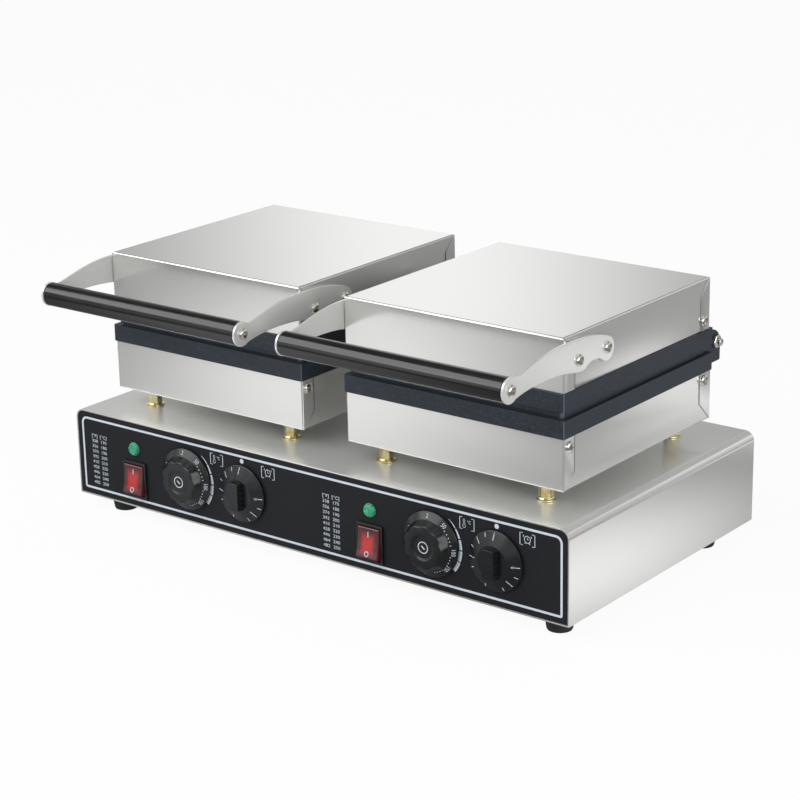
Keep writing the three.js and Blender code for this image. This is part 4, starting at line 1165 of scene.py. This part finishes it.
class WAFFLE_OT_arms(bpy.types.Operator):
    """Cut the lid arms from plate and turn the grips between them"""

    bl_idname = "waffle.arms"
    bl_label = "Arms and grips"

    def outline(self, grip_y, grip_z, reach, head):
        """Side outline of an arm, from the round head at its grip to the rear lobe and back."""

        def at(along, up):
            """Point in shares of the reach and of the head's radius."""
            return (grip_y + reach * along, grip_z + head * up)

        rear = (grip_y + reach, grip_z)
        points = arc((grip_y, grip_z), head, 306, 50, 32)
        points += bezier([points[-1], at(0.11, 0.56), at(0.29, 1.82), at(0.6, 1.75)], 20)
        points += bezier([points[-1], at(0.78, 1.73), at(0.97, 1.3), arc(rear, LOBE_RADIUS, 56, 56, 1)[0]], 20)
        points += arc(rear, LOBE_RADIUS, 56, -108, 20)[1:]
        points += bezier([points[-1], at(0.914, -0.29), at(0.823, -0.29), at(0.763, -0.85)], 10)
        points += bezier([points[-1], at(0.73, -1.02), at(0.647, -0.8)], 8)
        points += bezier([points[-1], at(0.46, -0.24), at(0.18, -0.33), points[0]], 20)[:-1]
        return points

    def execute(self, context):
        _, grip_y, grip_z = middle("grip_left")
        low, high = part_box("arm_left_inner")
        outline = self.outline(grip_y, grip_z, high.y - LOBE_RADIUS - grip_y, grip_y - low.y)
        first = outlined("lid_arm_left_inner", outline, low.x, high.x, 0.35 * MM)
        soften(first, 0, angle=40)
        places = [(f"lid_arm_{side}_{end}", f"lid_{side}", f"arm_{side}_{end}") for side in SIDES for end in ENDS]
        spread(first, places, "linished_stainless_plate", "stainless")
        bar = bar_along_x("grip_bar_left", "grip_left", 0.8 * MM, (0.25, 0.3), 64)
        both_sides(bar, "grip_bar_{}", "lid_{}", "grip_{}", "polished_black_phenolic", "grip_black")
        return {"FINISHED"}


class WAFFLE_OT_hinges(bpy.types.Operator):
    """Turn the hinge rods and make their nuts"""

    bl_idname = "waffle.hinges"
    bl_label = "Hinge rods and nuts"

    def execute(self, context):
        rod = bar_along_x("pivot_rod_left", "hinge_rod_left", 1.4 * MM, (0.3, 0.4), 40)
        both_sides(rod, "pivot_rod_{}", "cabinet", "hinge_rod_{}", "bright_zinc_plate", "plated_steel")
        low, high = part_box("hinge_nut_left_inner")
        corner = 5 * MM / math.cos(math.pi / 6)
        chamfer = 0.7 * MM
        nut = turned("pivot_nut_left_inner", [
            (corner - chamfer, low.x), (corner, low.x + 0.6 * chamfer), (corner, high.x - 0.6 * chamfer),
            (corner - chamfer, high.x)], 6, (0, *middle("hinge_rod_left")[1:]), ALONG_X)
        soften(nut, 0.25 * MM, 2, 20)
        places = [(f"pivot_nut_{side}_{end}", "cabinet", f"hinge_nut_{side}_{end}") for side in SIDES for end in ENDS]
        spread(nut, places, "bright_zinc_plate", "plated_steel")
        return {"FINISHED"}


class WAFFLE_OT_screws(bpy.types.Operator):
    """Make one cross-recessed pan head and copy it onto arms and tabs"""

    bl_idname = "waffle.screws"
    bl_label = "Pan-head screws"

    def pan_head(self, radius, height):
        piece = turned("screw_master", [
            (radius * r, height * h) for r, h in
            ((0.97, -0.08), (1, 0), (1, 0.32), (0.95, 0.56), (0.82, 0.78), (0.6, 0.93), (0.3, 1))], 40)
        for size in ((0.22, 1.0), (1.0, 0.22)):
            x, y = [radius * 0.62 * s for s in size]
            slot = block("slot", (-x, -y, height * 0.42), (x, y, height * 1.4))
            edit(slot)
            resize_end(slot, lambda face: face.normal.z < -0.9, (0.6, 0.6, 1), (0, 0, height * 0.42))
            leave_edit()
            cut(piece, slot)
        soften(piece, 0, angle=30)
        return piece

    def execute(self, context):
        first = self.pan_head(context.scene.waffle_box.screw_radius, 2.6 * MM)
        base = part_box("cabinet_shell")[0]
        for side in SIDES:
            lid = f"lid_{side}"
            # Body, and millimetres back from the cabinet's front and up from its bottom
            sets = {
                "arm": (f"arm_{side}_{{}}", ((lid, 44.5, 188.8), (lid, 82, 189.3), (lid, -41.1, 188.2))),
                "tab": (f"lower_housing_{side}", (
                    ("cabinet", 35.2, 124.6), ("cabinet", 226.2, 125.7), (lid, 224.3, 175))),
            }
            for end in ENDS:
                way = 1 if (side == "right") == (end == "outer") else -1
                for kind, (node, spots) in sets.items():
                    low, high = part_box(node.format(end))
                    face = high.x if way > 0 else low.x
                    for number, (body, y, z) in enumerate(spots):
                        piece = copied(first, f"{kind}_screw_{side}_{end}_{number}")
                        settle(piece, (face, base.y + y * MM, base.z + z * MM), (0, way * math.pi / 2, 0))
                        dress(piece, "bright_zinc_plate", body, "plated_steel")
        bpy.data.objects.remove(first)
        return {"FINISHED"}


class WAFFLE_OT_switches(bpy.types.Operator):
    """Model the rocker switches with their bezels and plain marks"""

    bl_idname = "waffle.switches"
    bl_label = "Rocker switches"

    def push(self, depth):
        """Grow the selected faces inwards."""
        bpy.ops.mesh.extrude_region_move(TRANSFORM_OT_translate={"value": (0, depth, 0)})

    def bezel(self, side):
        low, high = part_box(f"switch_body_{side}")
        panel_low, panel_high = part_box("control_panel")
        x, _, z = middle(f"switch_body_{side}")
        piece = block(f"switch_bezel_{side}", low, (high.x, panel_low.y, high.z))
        edit(piece)
        round_edges(piece, lambda edge: runs_along(edge, 1), 1.6 * MM, 5)
        spans = (high.x - low.x, high.z - low.z)
        mouth = [(span - 2 * 2.05 * MM) / span for span in spans]
        body = [share + 2.2 * MM / span for share, span in zip(mouth, spans)]
        pick(piece, "faces", lambda face: face.normal.y < -0.9)
        self.push(0)
        bpy.ops.transform.resize(value=(mouth[0], 1, mouth[1]), center_override=(x, low.y, z))
        self.push(panel_high.y + 18 * MM - low.y)
        pick(piece, "faces", lambda face: face.normal.y > 0.9 and face.calc_center_median().y < panel_low.y + 1 * MM)
        self.push(0)
        bpy.ops.transform.resize(value=(body[0], 1, body[1]), center_override=(x, panel_low.y, z))
        self.push(panel_high.y + 19 * MM - panel_low.y)
        leave_edit()
        mend(piece)
        soften(piece, 0.5 * MM, 3, 40)
        blades = []
        for level in (-1, 0, 1):
            blade_z = z + level * 9 * MM
            blade = block("blade", (x - 3.1 * MM, high.y - 8.6 * MM, blade_z - 0.4 * MM),
                          (x + 3.1 * MM, high.y, blade_z + 0.4 * MM))
            soften(blade, 0.2 * MM, 1)
            blades.append(blade)
        return joined([piece] + blades, f"switch_bezel_{side}")

    def rocker(self, side, pivot):
        """Rocker lying with its upper end pressed in."""
        low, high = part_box(f"rocker_{side}")
        half_width = (high.x - low.x) / 2
        back, front, half, tilt = 4 * MM, -6.4 * MM, 13.2 * MM, math.radians(9)
        front_half = half + front * math.tan(tilt)
        points = bezier([(back, 0), (back, -half * 0.7), (0, -half)], 8) + [(front, -front_half)]
        points += bezier([(front, -front_half), (front + 2.2 * MM, 0), (front, front_half)], 16) + [(0, half)]
        points += bezier([(0, half), (back, half * 0.7), (back, 0)], 8)
        turn = Matrix.Rotation(-tilt, 2)
        spun = [turn @ Vector(point) for point in points]
        piece = outlined(f"rocker_cap_{side}", [(pivot.y + p.x, pivot.z + p.y) for p in spun],
                         pivot.x - half_width, pivot.x + half_width)
        soften(piece, 2.1 * MM, 6, 40)
        return piece

    def execute(self, context):
        joints = {joint["name"]: Vector(joint["pos_m"]) for joint in frame["joints"]}
        for side in SIDES:
            pivot = joints[f"switch_rock_{side}"]
            dress(self.bezel(side), "black_filled_nylon", "cabinet", "switch_black", f"switch_body_{side}")
            piece = self.rocker(side, pivot)
            stroke = flat((0, 7.6 * MM, 0), 0.7 * MM, 4.6 * MM)
            ring = ring_of(disc(2.1 * MM, 28, (0, -7.6 * MM, 0)), 0.65 * MM)
            marks = laid_on([stroke, ring], f"rocker_marks_{side}", piece, pivot - Vector((0, 15 * MM, 0)))
            dress(piece, rocker_polycarbonate(pivot), f"switch_{side}", "rocker_red", f"rocker_{side}")
            dress(marks, "pale_screen_ink", f"switch_{side}", "rocker_red")
        return {"FINISHED"}


class WAFFLE_OT_lamps(bpy.types.Operator):
    """Turn the green pilot lamps with their rims"""

    bl_idname = "waffle.lamps"
    bl_label = "Pilot lamps"

    def execute(self, context):
        panel_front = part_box("control_panel")[0].y
        for side in SIDES:
            x, _, z = middle(f"lamp_{side}")
            back = (panel_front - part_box(f"lamp_{side}")[1].y) / MM
            lens = turned(f"lamp_lens_{side}", in_metres(
                (4.4, back), (4.4, 0.05), (5.7, 0.05), (5.7, 0.8), (5.4, 1.2), (5.05, 1.3), (5.05, 2.0),
                (4.7, 2.5), (3.9, 2.85), (2.4, 3.05), (0.8, 3.1)), 48, (x, panel_front, z), OUT_OF_PANEL)
            soften(lens, 0, angle=40)
            dress(lens, "green_acrylic_lens", "cabinet", "lamp_green", f"lamp_{side}")
        return {"FINISHED"}


def knob_place(node):
    """A knob's X and Z, its radius, and its back and front as heights out of the frame's middle."""
    low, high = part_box(node)
    x, _, z = middle(node)
    return x, z, (high.x - low.x) / 2, -high.y, -low.y


def around(degrees, radius):
    """Point of a knob's face, flat."""
    angle = math.radians(degrees)
    return (radius * math.cos(angle), radius * math.sin(angle), 0)


def knob_figures(texts, radius, height):
    """Figures of a knob's scale, flat, their feet towards its middle."""
    return [settle(figures(text, height, turn=math.radians(degrees - 90)), around(degrees, radius))
            for text, degrees in texts]


def knob_tick(degrees, inner, outer, width):
    """Tick of a knob's scale, flat."""
    return settle(flat(((inner + outer) / 2, 0, 0), outer - inner, width), rotation=(0, 0, math.radians(degrees)))


class WAFFLE_OT_thermostat_knobs(bpy.types.Operator):
    """Turn the thermostat knobs, pull in their scallops and print their scale"""

    bl_idname = "waffle.thermostat_knobs"
    bl_label = "Thermostat knobs"

    def body(self, sizes, name, radius, back, front):
        """Skirt, lobed body and dished face, in one turning, heights out of the panel."""
        rim, skirt = back + 1.4 * MM, back + 4.3 * MM
        root, face = radius - 5.9 * MM, radius - 8.7 * MM
        dish = sizes.dish_radius
        piece = turned(name, [
            (radius - 0.6 * MM, back), (radius, back + 0.5 * MM), (radius, rim - 0.5 * MM), (radius - 0.4 * MM, rim),
            (root + 0.5 * MM, skirt), (root, skirt + 0.5 * MM), (root - 0.7 * MM, back + 6 * MM),
            (face + 0.6 * MM, front - 1.5 * MM), (face + 0.1 * MM, front - 0.5 * MM), (face - 0.9 * MM, front),
            (dish + 0.6 * MM, front), (dish, front - 0.2 * MM), (dish - 1.2 * MM, front - 1.1 * MM),
            (dish - 2 * MM, front - 1.25 * MM), (1 * MM, front - 1.25 * MM)], sizes.lobes * 12)
        edit(piece)
        for level in range(1, 7):
            depth = (1 - math.cos(math.pi * level / 6)) / 2 * sizes.lobe_depth

            def in_lobe(vertex):
                """Whether a point of the knob's top is this far from the nearest crest between two scallops."""
                x, y, z = vertex.co
                if z < front - 1.6 * MM or math.hypot(x, y) < dish + 1 * MM:
                    return False
                phase = (math.atan2(y, x) * sizes.lobes / (2 * math.pi)) % 1
                return abs(min(phase, 1 - phase) * 2 - level / 6) < 0.04

            pick(piece, "verts", in_lobe)
            ratio = 1 - depth / face
            bpy.ops.transform.resize(value=(ratio, ratio, 1), center_override=(0, 0, front - 2 * MM))
        leave_edit()
        return piece

    def execute(self, context):
        sizes = context.scene.waffle_knob
        for side in SIDES:
            x, z, radius, back, front = knob_place(f"thermostat_knob_{side}")
            knob = self.body(sizes, f"thermostat_dial_knob_{side}", radius, back, front)
            settle(knob, (x, 0, z), OUT_OF_PANEL)
            soften(knob, 0, angle=50)
            dress(knob, "moulded_black_abs", f"thermostat_dial_{side}", "knob_black", f"thermostat_knob_{side}")
            prints = knob_figures((("2", 92), ("50", 52), ("100", -3), ("150", -42)), radius - 3.1 * MM, 2.9 * MM)
            for degrees in (43, 35, 27, 19, 11, -14, -21, -28, -35, -52, -59, -66, -73, 148, 195):
                prints.append(disc(0.42 * MM, 10, around(degrees, radius - 4.6 * MM)))
            prints.append(ring_of(disc(4.8 * MM, 40), 0.75 * MM))
            prints.append(knob_tick(-38, -1.9 * MM, 1.9 * MM, 1.1 * MM))
            scale = laid_on(prints, f"thermostat_scale_{side}", knob, (x, -front - 5 * MM, z))
            dress(scale, "pale_screen_ink", f"thermostat_dial_{side}", "knob_black")
        return {"FINISHED"}


class WAFFLE_OT_timer_knobs(bpy.types.Operator):
    """Turn the timer knobs, raise their grip bars and print their ticks"""

    bl_idname = "waffle.timer_knobs"
    bl_label = "Timer knobs"

    def bar(self, hub, half, back, skirt, front):
        """Tapered grip bar across the hub, within its cone."""
        bar = block("bar", (-half, -hub - 1 * MM, skirt - 1 * MM), (half, hub + 1 * MM, front))
        edit(bar)
        resize_end(bar, lambda face: face.normal.z > 0.9, (0.88, 1, 1), (0, 0, front))
        leave_edit()
        cut(bar, turned("hub", [(hub, back + 0.5 * MM), (hub - 1.4 * MM, front)], 72), "INTERSECT")
        soften(bar, 0.7 * MM, 3, 35)
        return bar

    def ribs(self, half, skirt, front):
        """Leaning ribs on both flanks of the bar."""
        ribs = []
        for way in (-1, 1):
            flank = way * (half + 0.2 * MM)
            for number in range(-2, 3):
                y = number * 4.2 * MM
                rib = block("rib", (flank - 0.5 * MM, y - 0.3 * MM, skirt - 0.3 * MM),
                            (flank + 0.5 * MM, y + 0.3 * MM, front - 2.2 * MM))
                edit(rib)
                pick(rib, "faces", lambda face: face.normal.z > 0.9)
                bpy.ops.transform.translate(value=(-way * 0.55 * MM, 0, 0))
                leave_edit()
                soften(rib, 0.15 * MM, 1)
                ribs.append(rib)
        return ribs

    def execute(self, context):
        sizes = context.scene.waffle_knob
        hub, half = sizes.hub_radius, sizes.bar_width / 2
        for side in SIDES:
            x, z, radius, back, front = knob_place(f"timer_knob_{side}")
            rim, skirt = back + 1.4 * MM, back + 5.6 * MM
            base = turned(f"timer_dial_knob_{side}", [
                (radius - 0.5 * MM, back), (radius, back + 0.4 * MM), (radius, rim - 0.4 * MM),
                (radius - 0.5 * MM, rim), (hub + 0.4 * MM, skirt), (hub - 0.4 * MM, skirt + 0.3 * MM),
                (2 * MM, skirt + 0.3 * MM)], 72)
            soften(base, 0, angle=30)
            parts = [base, self.bar(hub, half, back, skirt, front)] + self.ribs(half, skirt, front)
            knob = settle(joined(parts, f"timer_dial_knob_{side}"), (x, 0, z), OUT_OF_PANEL)
            dress(knob, "moulded_black_abs", f"timer_dial_{side}", "knob_black", f"timer_knob_{side}")
            outer = radius - 1.1 * MM
            prints = [knob_tick(degrees, outer - long * MM, outer, 0.6 * MM) for degrees, long in (
                (90, 5.5), (112, 3), (135, 5.5), (157, 3), (180, 3.4), (203, 3), (248, 3), (292, 3), (315, 6.2),
                (337, 3), (0, 3.4))]
            prints += knob_figures((("5", 180), ("0", 0)), radius - 6.4 * MM, 2.6 * MM)
            scale = laid_on(prints, f"timer_scale_{side}", knob, (x, -front - 5 * MM, z))
            dress(scale, "pale_screen_ink", f"timer_dial_{side}", "knob_black")
        return {"FINISHED"}


class WAFFLE_OT_gland(bpy.types.Operator):
    """Turn the cable gland in the rear panel"""

    bl_idname = "waffle.gland"
    bl_label = "Cable gland"

    def execute(self, context):
        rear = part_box("cabinet_rear")[1].y
        x, _, z = middle("cable_gland")
        end = (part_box("cable_gland")[1].y - rear) / MM
        nut = turned(
            "gland_nut", in_metres((12.6, 0.3), (13.8, 1), (13.8, 4.4), (12.6, 5)), 6, (x, rear, z), OUT_OF_REAR)
        soften(nut, 0.4 * MM, 2, 20)
        dome = turned("gland_dome", in_metres(
            (10, 0.6), (10, end - 6), (9.7, end - 4.5), (8.8, end - 2), (7.4, end - 0.4), (6.6, end), (5.2, end),
            (5, end - 0.5), (5, -9.5), (8.4, -9.5), (9, -9), (9, 0.6)), 48, (x, rear, z), OUT_OF_REAR)
        soften(dome, 0, angle=40)
        dress(joined([dome, nut], "gland_body"), "black_gland_nylon", "cabinet", "nylon", "cable_gland")
        return {"FINISHED"}


class WAFFLE_OT_frame_finishes(bpy.types.Operator):
    """Finish the frame's own pieces that stay in sight or inside the housings"""

    bl_idname = "waffle.frame_finishes"
    bl_label = "Inner pieces"

    def execute(self, context):
        finishes = {
            "cabinet_bottom": "brushed_stainless_sheet",
            "cabinet_rear": "brushed_stainless_sheet",
            "terminal_block": "terminal_nylon",
        }
        for side in SIDES:
            finishes[f"thermostat_{side}"] = "pressed_tinplate"
            finishes[f"timer_{side}"] = "timer_case_nylon"
            finishes[f"lower_element_{side}"] = "heat_tinted_sheath"
            finishes[f"upper_element_{side}"] = "heat_tinted_sheath"
        for node, material in finishes.items():
            for slot in frame["nodes"][node].material_slots:
                slot.material = finish_named(material)
        return {"FINISHED"}


# ---------------------------------------------------------------- stage


def mixed(tree, share, first, second):
    """Two shaders, mixed."""
    return add_node(tree, "MixShader", inputs={0: share, 1: first, 2: second}).outputs[0]


def rays(tree):
    """Whether a ray comes from the camera, and whether it comes off or through a piece."""
    path = add_node(tree, "LightPath").outputs
    return path["Is Camera Ray"], calculated(tree, "MAXIMUM", path["Is Glossy Ray"], path["Is Transmission Ray"])


def glow(tree, kind, strength):
    """White light of a floor (Emission) or a world (Background)."""
    return add_node(tree, kind, inputs={"Color": WHITE, "Strength": strength}).outputs[0]


# Pools of light that the steel mirrors: middle, turn in degrees, half length and half width, strength
POOLS = (
    ((-0.340, -0.520), 50.6, (0.70, 0.30), 0.95),
    ((0.49, 0.47), 20, (0.30, 0.17), 0.85),
    ((0.32, 0.0), 90, (0.34, 0.14), 0.8),
    ((-0.45, 0.25), 120, (0.45, 0.2), 0.5),
    ((0.1, 0.55), 0, (0.35, 0.2), 0.4),
)


def floor_material(tone):
    """Pale floor: near white to the eye, with soft pools of light where steel mirrors it."""
    material, tree, place = new_tree("pale_studio_floor")
    pools = []
    for (x, y), turn, (long, wide), strength in POOLS:
        local = add_node(tree, "Mapping", {"vector_type": "TEXTURE"}, {
            "Vector": place.outputs["Object"], "Location": (x, y, 0), "Rotation": (0, 0, math.radians(turn)),
            "Scale": (long, wide, 1)})
        pool = add_node(tree, "TexGradient", {"gradient_type": "SPHERICAL"}, {"Vector": local.outputs[0]})
        pools.append(add_node(tree, "MapRange", {"interpolation_type": "SMOOTHSTEP"}, {
            "Value": pool.outputs["Fac"], "To Max": strength}).outputs[0])
    total = pools[0]
    for pool in pools[1:]:
        total = calculated(tree, "ADD", total, pool)
    by_camera, mirrored = rays(tree)
    lit = add_node(tree, "BsdfDiffuse", inputs={"Color": tuple(tone)}).outputs[0]
    seen = mixed(tree, 0.94, lit, glow(tree, "Emission", 1))
    pooled = glow(tree, "Emission", calculated(tree, "ADD", total, 0.22, clamp=True))
    surface = mixed(tree, mirrored, mixed(tree, by_camera, lit, seen), pooled)
    add_node(tree, "OutputMaterial", inputs={"Surface": surface})
    return material


def studio_world(ambient):
    """White background to the eye; steel mirrors it with soft upright bands under a dark belt."""
    world = bpy.data.worlds.new("soft_studio")
    world.use_nodes = True
    tree = world.node_tree
    tree.nodes.clear()
    place = add_node(tree, "TexCoord")
    way = add_node(tree, "SeparateXYZ", inputs={"Vector": place.outputs["Generated"]}).outputs
    azimuth = calculated(tree, "ARCTAN2", calculated(tree, "MULTIPLY", way["X"], -1), way["Y"])
    phase = calculated(tree, "MULTIPLY_ADD", azimuth, 17, -17 * math.radians(37.3))
    band = calculated(tree, "COSINE", phase)
    fade = ranged(tree, way["Z"], 0.42, 0, 0.4, 0.6)
    rise = add_node(tree, "ValToRGB", inputs={"Fac": way["Z"]})
    rise.color_ramp.interpolation = "EASE"
    elements = rise.color_ramp.elements
    elements[0].position, elements[1].position = 0.4, 0.93
    elements[0].color, elements[1].color = (0.68, 0.68, 0.68, 1), (0.9, 0.9, 0.9, 1)
    for height in (0.6, 0.8):
        elements.new(height).color = (0.16, 0.16, 0.16, 1)
    banded = glow(tree, "Background", calculated(tree, "MULTIPLY_ADD", band, fade, rise.outputs[0]))
    by_camera, mirrored = rays(tree)
    light = mixed(tree, mirrored, glow(tree, "Background", ambient), banded)
    surface = mixed(tree, by_camera, light, glow(tree, "Background", 1))
    add_node(tree, "OutputWorld", inputs={"Surface": surface})
    return world


class WAFFLE_OT_stage(bpy.types.Operator):
    """Set up the pale floor, the soft lamps and the camera"""

    bl_idname = "waffle.stage"
    bl_label = "Stage"

    def lamp(self, name, location, size, power):
        clear_selection()
        bpy.ops.object.light_add(type="AREA", location=location)
        lamp = bpy.context.object
        lamp.name = name
        lamp.data.shape = "RECTANGLE"
        lamp.data.size, lamp.data.size_y = size
        lamp.data.energy = power
        lamp.visible_camera = False
        lamp.rotation_euler = (Vector((0, 0, 0.1)) - lamp.location).to_track_quat("-Z", "Y").to_euler()

    def camera(self, settings):
        azimuth, elevation, roll = settings.camera_azimuth, settings.camera_elevation, settings.camera_roll
        back = Vector((
            math.sin(azimuth) * math.cos(elevation), -math.cos(azimuth) * math.cos(elevation), math.sin(elevation)))
        level = Vector((math.cos(azimuth), math.sin(azimuth), 0))
        upright = back.cross(level)
        right = level * math.cos(roll) + upright * math.sin(roll)
        up = upright * math.cos(roll) - level * math.sin(roll)
        place = Vector(settings.camera_target) + back * settings.camera_distance
        clear_selection()
        bpy.ops.object.camera_add()
        camera = bpy.context.object
        camera.matrix_world = Matrix((
            (right.x, up.x, back.x, place.x), (right.y, up.y, back.y, place.y), (right.z, up.z, back.z, place.z),
            (0, 0, 0, 1)))
        camera.data.lens = settings.camera_lens
        camera.data.sensor_width = 36
        return camera

    def execute(self, context):
        settings = context.scene.waffle_stage
        clear_selection()
        bpy.ops.mesh.primitive_plane_add(size=12)
        floor = bpy.context.object
        floor.name = "floor"
        floor.data.materials.append(floor_material(settings.floor_colour))
        context.scene.world = studio_world(settings.ambient)
        self.lamp("key_lamp", (-0.8, -1.2, 1.35), (2, 1.3), settings.key_power)
        self.lamp("fill_lamp", (1.4, -0.35, 0.5), (1.4, 0.7), settings.fill_power)
        context.scene.camera = self.camera(settings)
        context.scene.view_settings.view_transform = "Standard"
        return {"FINISHED"}


OPERATORS = (
    WAFFLE_OT_cabinet,
    WAFFLE_OT_panel,
    WAFFLE_OT_panel_print,
    WAFFLE_OT_feet,
    WAFFLE_OT_posts,
    WAFFLE_OT_housings,
    WAFFLE_OT_plates,
    WAFFLE_OT_arms,
    WAFFLE_OT_hinges,
    WAFFLE_OT_screws,
    WAFFLE_OT_switches,
    WAFFLE_OT_lamps,
    WAFFLE_OT_thermostat_knobs,
    WAFFLE_OT_timer_knobs,
    WAFFLE_OT_gland,
    WAFFLE_OT_frame_finishes,
    WAFFLE_OT_stage,
)
SETTINGS = {
    "waffle_cabinet": CabinetSettings,
    "waffle_print": PrintSettings,
    "waffle_box": BoxSettings,
    "waffle_plate": PlateSettings,
    "waffle_knob": KnobSettings,
    "waffle_stage": StageSettings,
}


class WAFFLE_PT_pieces(bpy.types.Panel):
    """Sizes of the waffle maker and the steps that model it"""

    bl_idname = "WAFFLE_PT_pieces"
    bl_label = "Waffle maker"
    bl_space_type = "VIEW_3D"
    bl_region_type = "UI"
    bl_category = "Waffle maker"

    def draw(self, context):
        layout = self.layout
        for name, group in SETTINGS.items():
            box = layout.box()
            settings = getattr(context.scene, name)
            for key in group.__annotations__:
                box.prop(settings, key)
        for operator in OPERATORS:
            layout.operator(operator.bl_idname)


def register():
    for name, group in SETTINGS.items():
        bpy.utils.register_class(group)
        setattr(bpy.types.Scene, name, PointerProperty(type=group))
    for operator in OPERATORS:
        bpy.utils.register_class(operator)
    bpy.utils.register_class(WAFFLE_PT_pieces)


def unregister():
    bpy.utils.unregister_class(WAFFLE_PT_pieces)
    for operator in reversed(OPERATORS):
        bpy.utils.unregister_class(operator)
    for name, group in reversed(SETTINGS.items()):
        delattr(bpy.types.Scene, name)
        bpy.utils.unregister_class(group)


def main():
    register()
    for operator in OPERATORS:
        group, step = operator.bl_idname.split(".")
        getattr(getattr(bpy.ops, group), step)()


if __name__ == "__main__":
    main()
